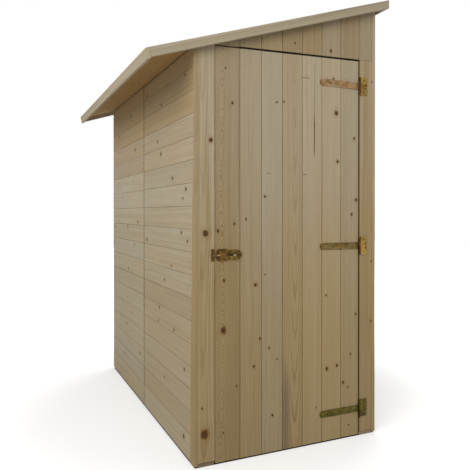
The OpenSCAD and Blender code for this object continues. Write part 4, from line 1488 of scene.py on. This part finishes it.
class SHED_OT_nails(bpy.types.Operator):
    """Drives the nails of the boards and the felt"""

    bl_idname = "shed.nails"
    bl_label = "Nails"

    def execute(self, context):
        boards = context.scene.shed_boards
        draw = random.Random(f"{boards.seed} nails")
        dark = zinc_finish(context, "tarnished")
        bm = bmesh.new()
        for side, node in ((-1, "left_wall_front_panel"), (1, "right_wall_front_panel")):
            self.side_nails(bm, boards, draw, side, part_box(node))
        self.back_nails(bm, boards, draw)
        self.head_nails(bm, boards, draw)
        finish_piece("wall_nails", bm, dark, "shed", "zinc_brass", smooth=True)
        bm = bmesh.new()
        self.door_nails(bm, boards, draw)
        finish_piece("door_nails", bm, dark, "door", "zinc_brass", smooth=True)
        bm = bmesh.new()
        self.roof_nails(bm, draw)
        finish_piece("roof_nails", bm, zinc_finish(context, "rubbed"), "shed", "zinc_brass", smooth=True)
        return {"FINISHED"}

    def scatter(self, draw):
        return draw.uniform(-NAIL_SCATTER, NAIL_SCATTER)

    def side_nails(self, bm, boards, draw, side, panel):
        joints = joints_between(panel[0].z, panel[1].z, boards.side_joint, boards.side_cover)
        stud_middles = (-FRAME_Y + BATTEN_W / 2, -BATTEN_W / 4, BATTEN_W / 4, FRAME_Y - BATTEN_W / 2)
        x = side * (OUT_X - SIDE_NAIL_SINK)
        for bottom, top in zip(joints, joints[1:]):
            if top - bottom < boards.side_cover / 2:
                continue
            for y in stud_middles:
                place = (x, y + self.scatter(draw), (bottom + top) / 2 + self.scatter(draw))
                nail(bm, place, (side, 0.0, 0.0), SIDE_NAIL_RISE)

    def end_nails(self, bm, draw, joints, face, heights, spread=NAIL_SPREAD, stagger=0.0):
        """Two nails in each upright board at each height that its middle gives."""
        for left, right in zip(joints, joints[1:]):
            middle = (left + right) / 2
            for z in heights(middle):
                for way in (-1, 1):
                    x = middle + way * spread * (right - left) + self.scatter(draw)
                    place = (x, face * (OUT_Y - NAIL_SINK), z - way * stagger + self.scatter(draw))
                    nail(bm, place, (0.0, face, 0.0), NAIL_RISE)

    def back_nails(self, bm, boards, draw):
        low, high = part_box("back_wall_panel")
        joints = joints_between(low.x, high.x, low.x + boards.end_cover, boards.end_cover)
        rails = [bottom + BATTEN_W / 2 for bottom in RAIL_BOTTOMS]
        self.end_nails(bm, draw, joints, 1, lambda middle: rails + [soffit(middle) - BATTEN_W / 2])

    def head_nails(self, bm, boards, draw):
        low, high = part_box("front_head_panel")
        joints = joints_between(low.x, high.x, boards.end_joint, boards.end_cover)
        rail = DOOR_TOP + HEAD_GAP + BATTEN_W / 2
        self.end_nails(
            bm, draw, joints[2:], -1, lambda middle: [rail + HEAD_SLOPE * (middle - DOOR[0].x)])

    def door_nails(self, bm, boards, draw):
        low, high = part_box("door_ledges")
        joints = joints_between(DOOR[0].x, DOOR[1].x, boards.end_joint, boards.end_cover)
        middle_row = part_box("middle_hinge_strap")[0].z + STRAP_W / 2
        rows = (low.z + LEDGE_W / 2, middle_row, high.z - LEDGE_W / 2)
        self.end_nails(bm, draw, joints, -1, lambda middle: rows, DOOR_NAIL_SPREAD, DOOR_NAIL_STAGGER)

    def roof_nails(self, bm, draw):
        for index in range(FELT_NAILS):
            along = -DECK_Y + 2 * DECK_Y * (index + 0.5) / FELT_NAILS
            for slope in (LAP_LOW + LAP_NAIL_IN, DECK_LOW + EDGE_NAIL_IN, DECK_HIGH - EDGE_NAIL_IN):
                top = FELT_TOP if slope > LAP_LOW else FELT_TOP - LAP_STEP
                place = ON_ROOF @ Vector((slope + self.scatter(draw), along + self.scatter(draw), top))
                nail(bm, place, ROOF_UP, FELT_NAIL_RISE, FELT_NAIL_R)


class SHED_OT_stage(bpy.types.Operator):
    """Sets up the camera, the light and the floor"""

    bl_idname = "shed.stage"
    bl_label = "Stage"

    def execute(self, context):
        stage = context.scene.shed_stage
        self.camera(context, stage)
        self.sky(context, stage)
        self.floor(context, stage)
        self.lamp(context, "key_light", stage.key_power, KEY_PLACE)
        self.lamp(context, "fill_light", stage.fill_power, FILL_PLACE)
        context.scene.view_settings.view_transform = "Standard"
        return {"FINISHED"}

    def lamp(self, context, name, power, place):
        light = bpy.data.lights.new(name, "AREA")
        light.shape = "RECTANGLE"
        light.size, light.size_y = LAMP_SIZE
        light.energy = power
        light.color = LAMP_TINT
        lamp = bpy.data.objects.new(name, light)
        lamp.location = place
        aim = LAMP_AIM - lamp.location
        lamp.rotation_euler = aim.to_track_quat("-Z", "Y").to_euler()
        context.scene.collection.objects.link(lamp)

    def camera(self, context, stage):
        lens = bpy.data.cameras.new("camera")
        lens.sensor_width = 36.0
        lens.sensor_fit = "HORIZONTAL"
        lens.lens = stage.camera_lens
        lens.shift_y = stage.camera_shift
        camera = bpy.data.objects.new("camera", lens)
        camera.location = stage.camera_place
        camera.rotation_euler = (math.pi / 2 + stage.camera_tilt, 0.0, -stage.camera_turn)
        context.scene.collection.objects.link(camera)
        context.scene.camera = camera

    def seen(self, cook):
        """Share of rays that come from the camera, a mirror or glass."""
        path = cook.node("ShaderNodeLightPath")
        mirrored = cook.larger(path.outputs["Is Glossy Ray"], path.outputs["Is Transmission Ray"])
        return cook.larger(path.outputs["Is Camera Ray"], mirrored)

    def sky(self, context, stage):
        """Soft light that is stronger overhead, behind a white backdrop."""
        world = bpy.data.worlds.new("studio_sky")
        world.use_nodes = True
        world.node_tree.nodes.clear()
        cook = Recipe(world.node_tree)
        x, y, z = cook.split(cook.node("ShaderNodeTexCoord").outputs["Generated"])
        light = cook.node("ShaderNodeBackground")
        light.inputs["Color"].default_value = SKY_TINT
        cook.feed(light.inputs["Strength"], cook.fade(z, -0.1, 0.9, stage.sky_side, stage.sky_top))
        white = cook.node("ShaderNodeBackground")
        white.inputs["Color"].default_value = WHITE
        white.inputs["Strength"].default_value = 1.0
        blend = cook.node("ShaderNodeMixShader")
        for socket, value in zip(blend.inputs, (self.seen(cook), light.outputs[0], white.outputs[0])):
            cook.feed(socket, value)
        cook.output("ShaderNodeOutputWorld", blend)
        context.scene.world = world

    def floor(self, context, stage):
        """A pale floor that fades to white round the shed and is painted dark under it as shade."""
        bm = bmesh.new()
        bmesh.ops.create_grid(bm, x_segments=4, y_segments=4, size=FLOOR_HALF)
        bmesh.ops.translate(bm, vec=(0.0, 0.0, -FLOOR_DROP), verts=bm.verts[:])
        mesh = bpy.data.meshes.new("studio_floor")
        bm.to_mesh(mesh)
        bm.free()
        material, cook = new_finish("pale_floor")
        place = cook.object_place()
        centred = cook.node("ShaderNodeVectorMath", operation="LENGTH")
        cook.feed(centred.inputs[0], place)
        reach = cook.fade(centred.outputs["Value"], 0.9, 2.3, 0.34, 1.0)
        x, y, z = cook.split(place)
        beside = cook.fade(cook.minus(cook.math("ABSOLUTE", x), OUT_X), -0.006, 0.0)
        before = cook.fade(cook.minus(cook.math("ABSOLUTE", y), OUT_Y), -0.006, 0.0)
        clear = cook.larger(beside, before)
        matt = cook.node("ShaderNodeBsdfDiffuse")
        cook.feed(matt.inputs["Color"], cook.mix(clear, PAINTED_SHADE_UNDER_SHED, linear(stage.floor_pale)))
        lift = cook.node("ShaderNodeEmission")
        cook.feed(lift.inputs["Strength"], cook.times(self.seen(cook), cook.times(reach, clear)))
        both = cook.node("ShaderNodeAddShader")
        cook.feed(both.inputs[0], matt.outputs[0])
        cook.feed(both.inputs[1], lift.outputs[0])
        cook.output("ShaderNodeOutputMaterial", both)
        mesh.materials.append(material)
        floor = bpy.data.objects.new("studio_floor", mesh)
        context.scene.collection.objects.link(floor)


class SHED_PT_sidebar(bpy.types.Panel):
    """Lists the settings and the steps that dress the shed"""

    bl_idname = "SHED_PT_sidebar"
    bl_label = "Garden Shed"
    bl_space_type = "VIEW_3D"
    bl_region_type = "UI"
    bl_category = "Shed"

    def draw(self, context):
        for group in (context.scene.shed_boards, context.scene.shed_finishes, context.scene.shed_stage):
            box = self.layout.box()
            for name in group.__annotations__:
                box.prop(group, name)
        for operator in OPERATORS:
            self.layout.operator(operator.bl_idname)


SETTINGS = (
    ("shed_boards", ShedBoardSettings),
    ("shed_finishes", ShedFinishSettings),
    ("shed_stage", ShedStageSettings),
)
OPERATORS = (
    SHED_OT_side_walls, SHED_OT_end_walls, SHED_OT_framing, SHED_OT_floor, SHED_OT_roof, SHED_OT_door,
    SHED_OT_hinges, SHED_OT_bolt, SHED_OT_nails, SHED_OT_stage,
)


def register():
    for name, group in SETTINGS:
        bpy.utils.register_class(group)
        setattr(bpy.types.Scene, name, PointerProperty(type=group))
    for operator in OPERATORS:
        bpy.utils.register_class(operator)
    bpy.utils.register_class(SHED_PT_sidebar)


def unregister():
    bpy.utils.unregister_class(SHED_PT_sidebar)
    for operator in reversed(OPERATORS):
        bpy.utils.unregister_class(operator)
    for name, group in reversed(SETTINGS):
        delattr(bpy.types.Scene, name)
        bpy.utils.unregister_class(group)


def main():
    register()
    bpy.ops.shed.side_walls()
    bpy.ops.shed.end_walls()
    bpy.ops.shed.framing()
    bpy.ops.shed.floor()
    bpy.ops.shed.roof()
    bpy.ops.shed.door()
    bpy.ops.shed.hinges()
    bpy.ops.shed.bolt()
    bpy.ops.shed.nails()
    bpy.ops.shed.stage()


if __name__ == "__main__":
    main()
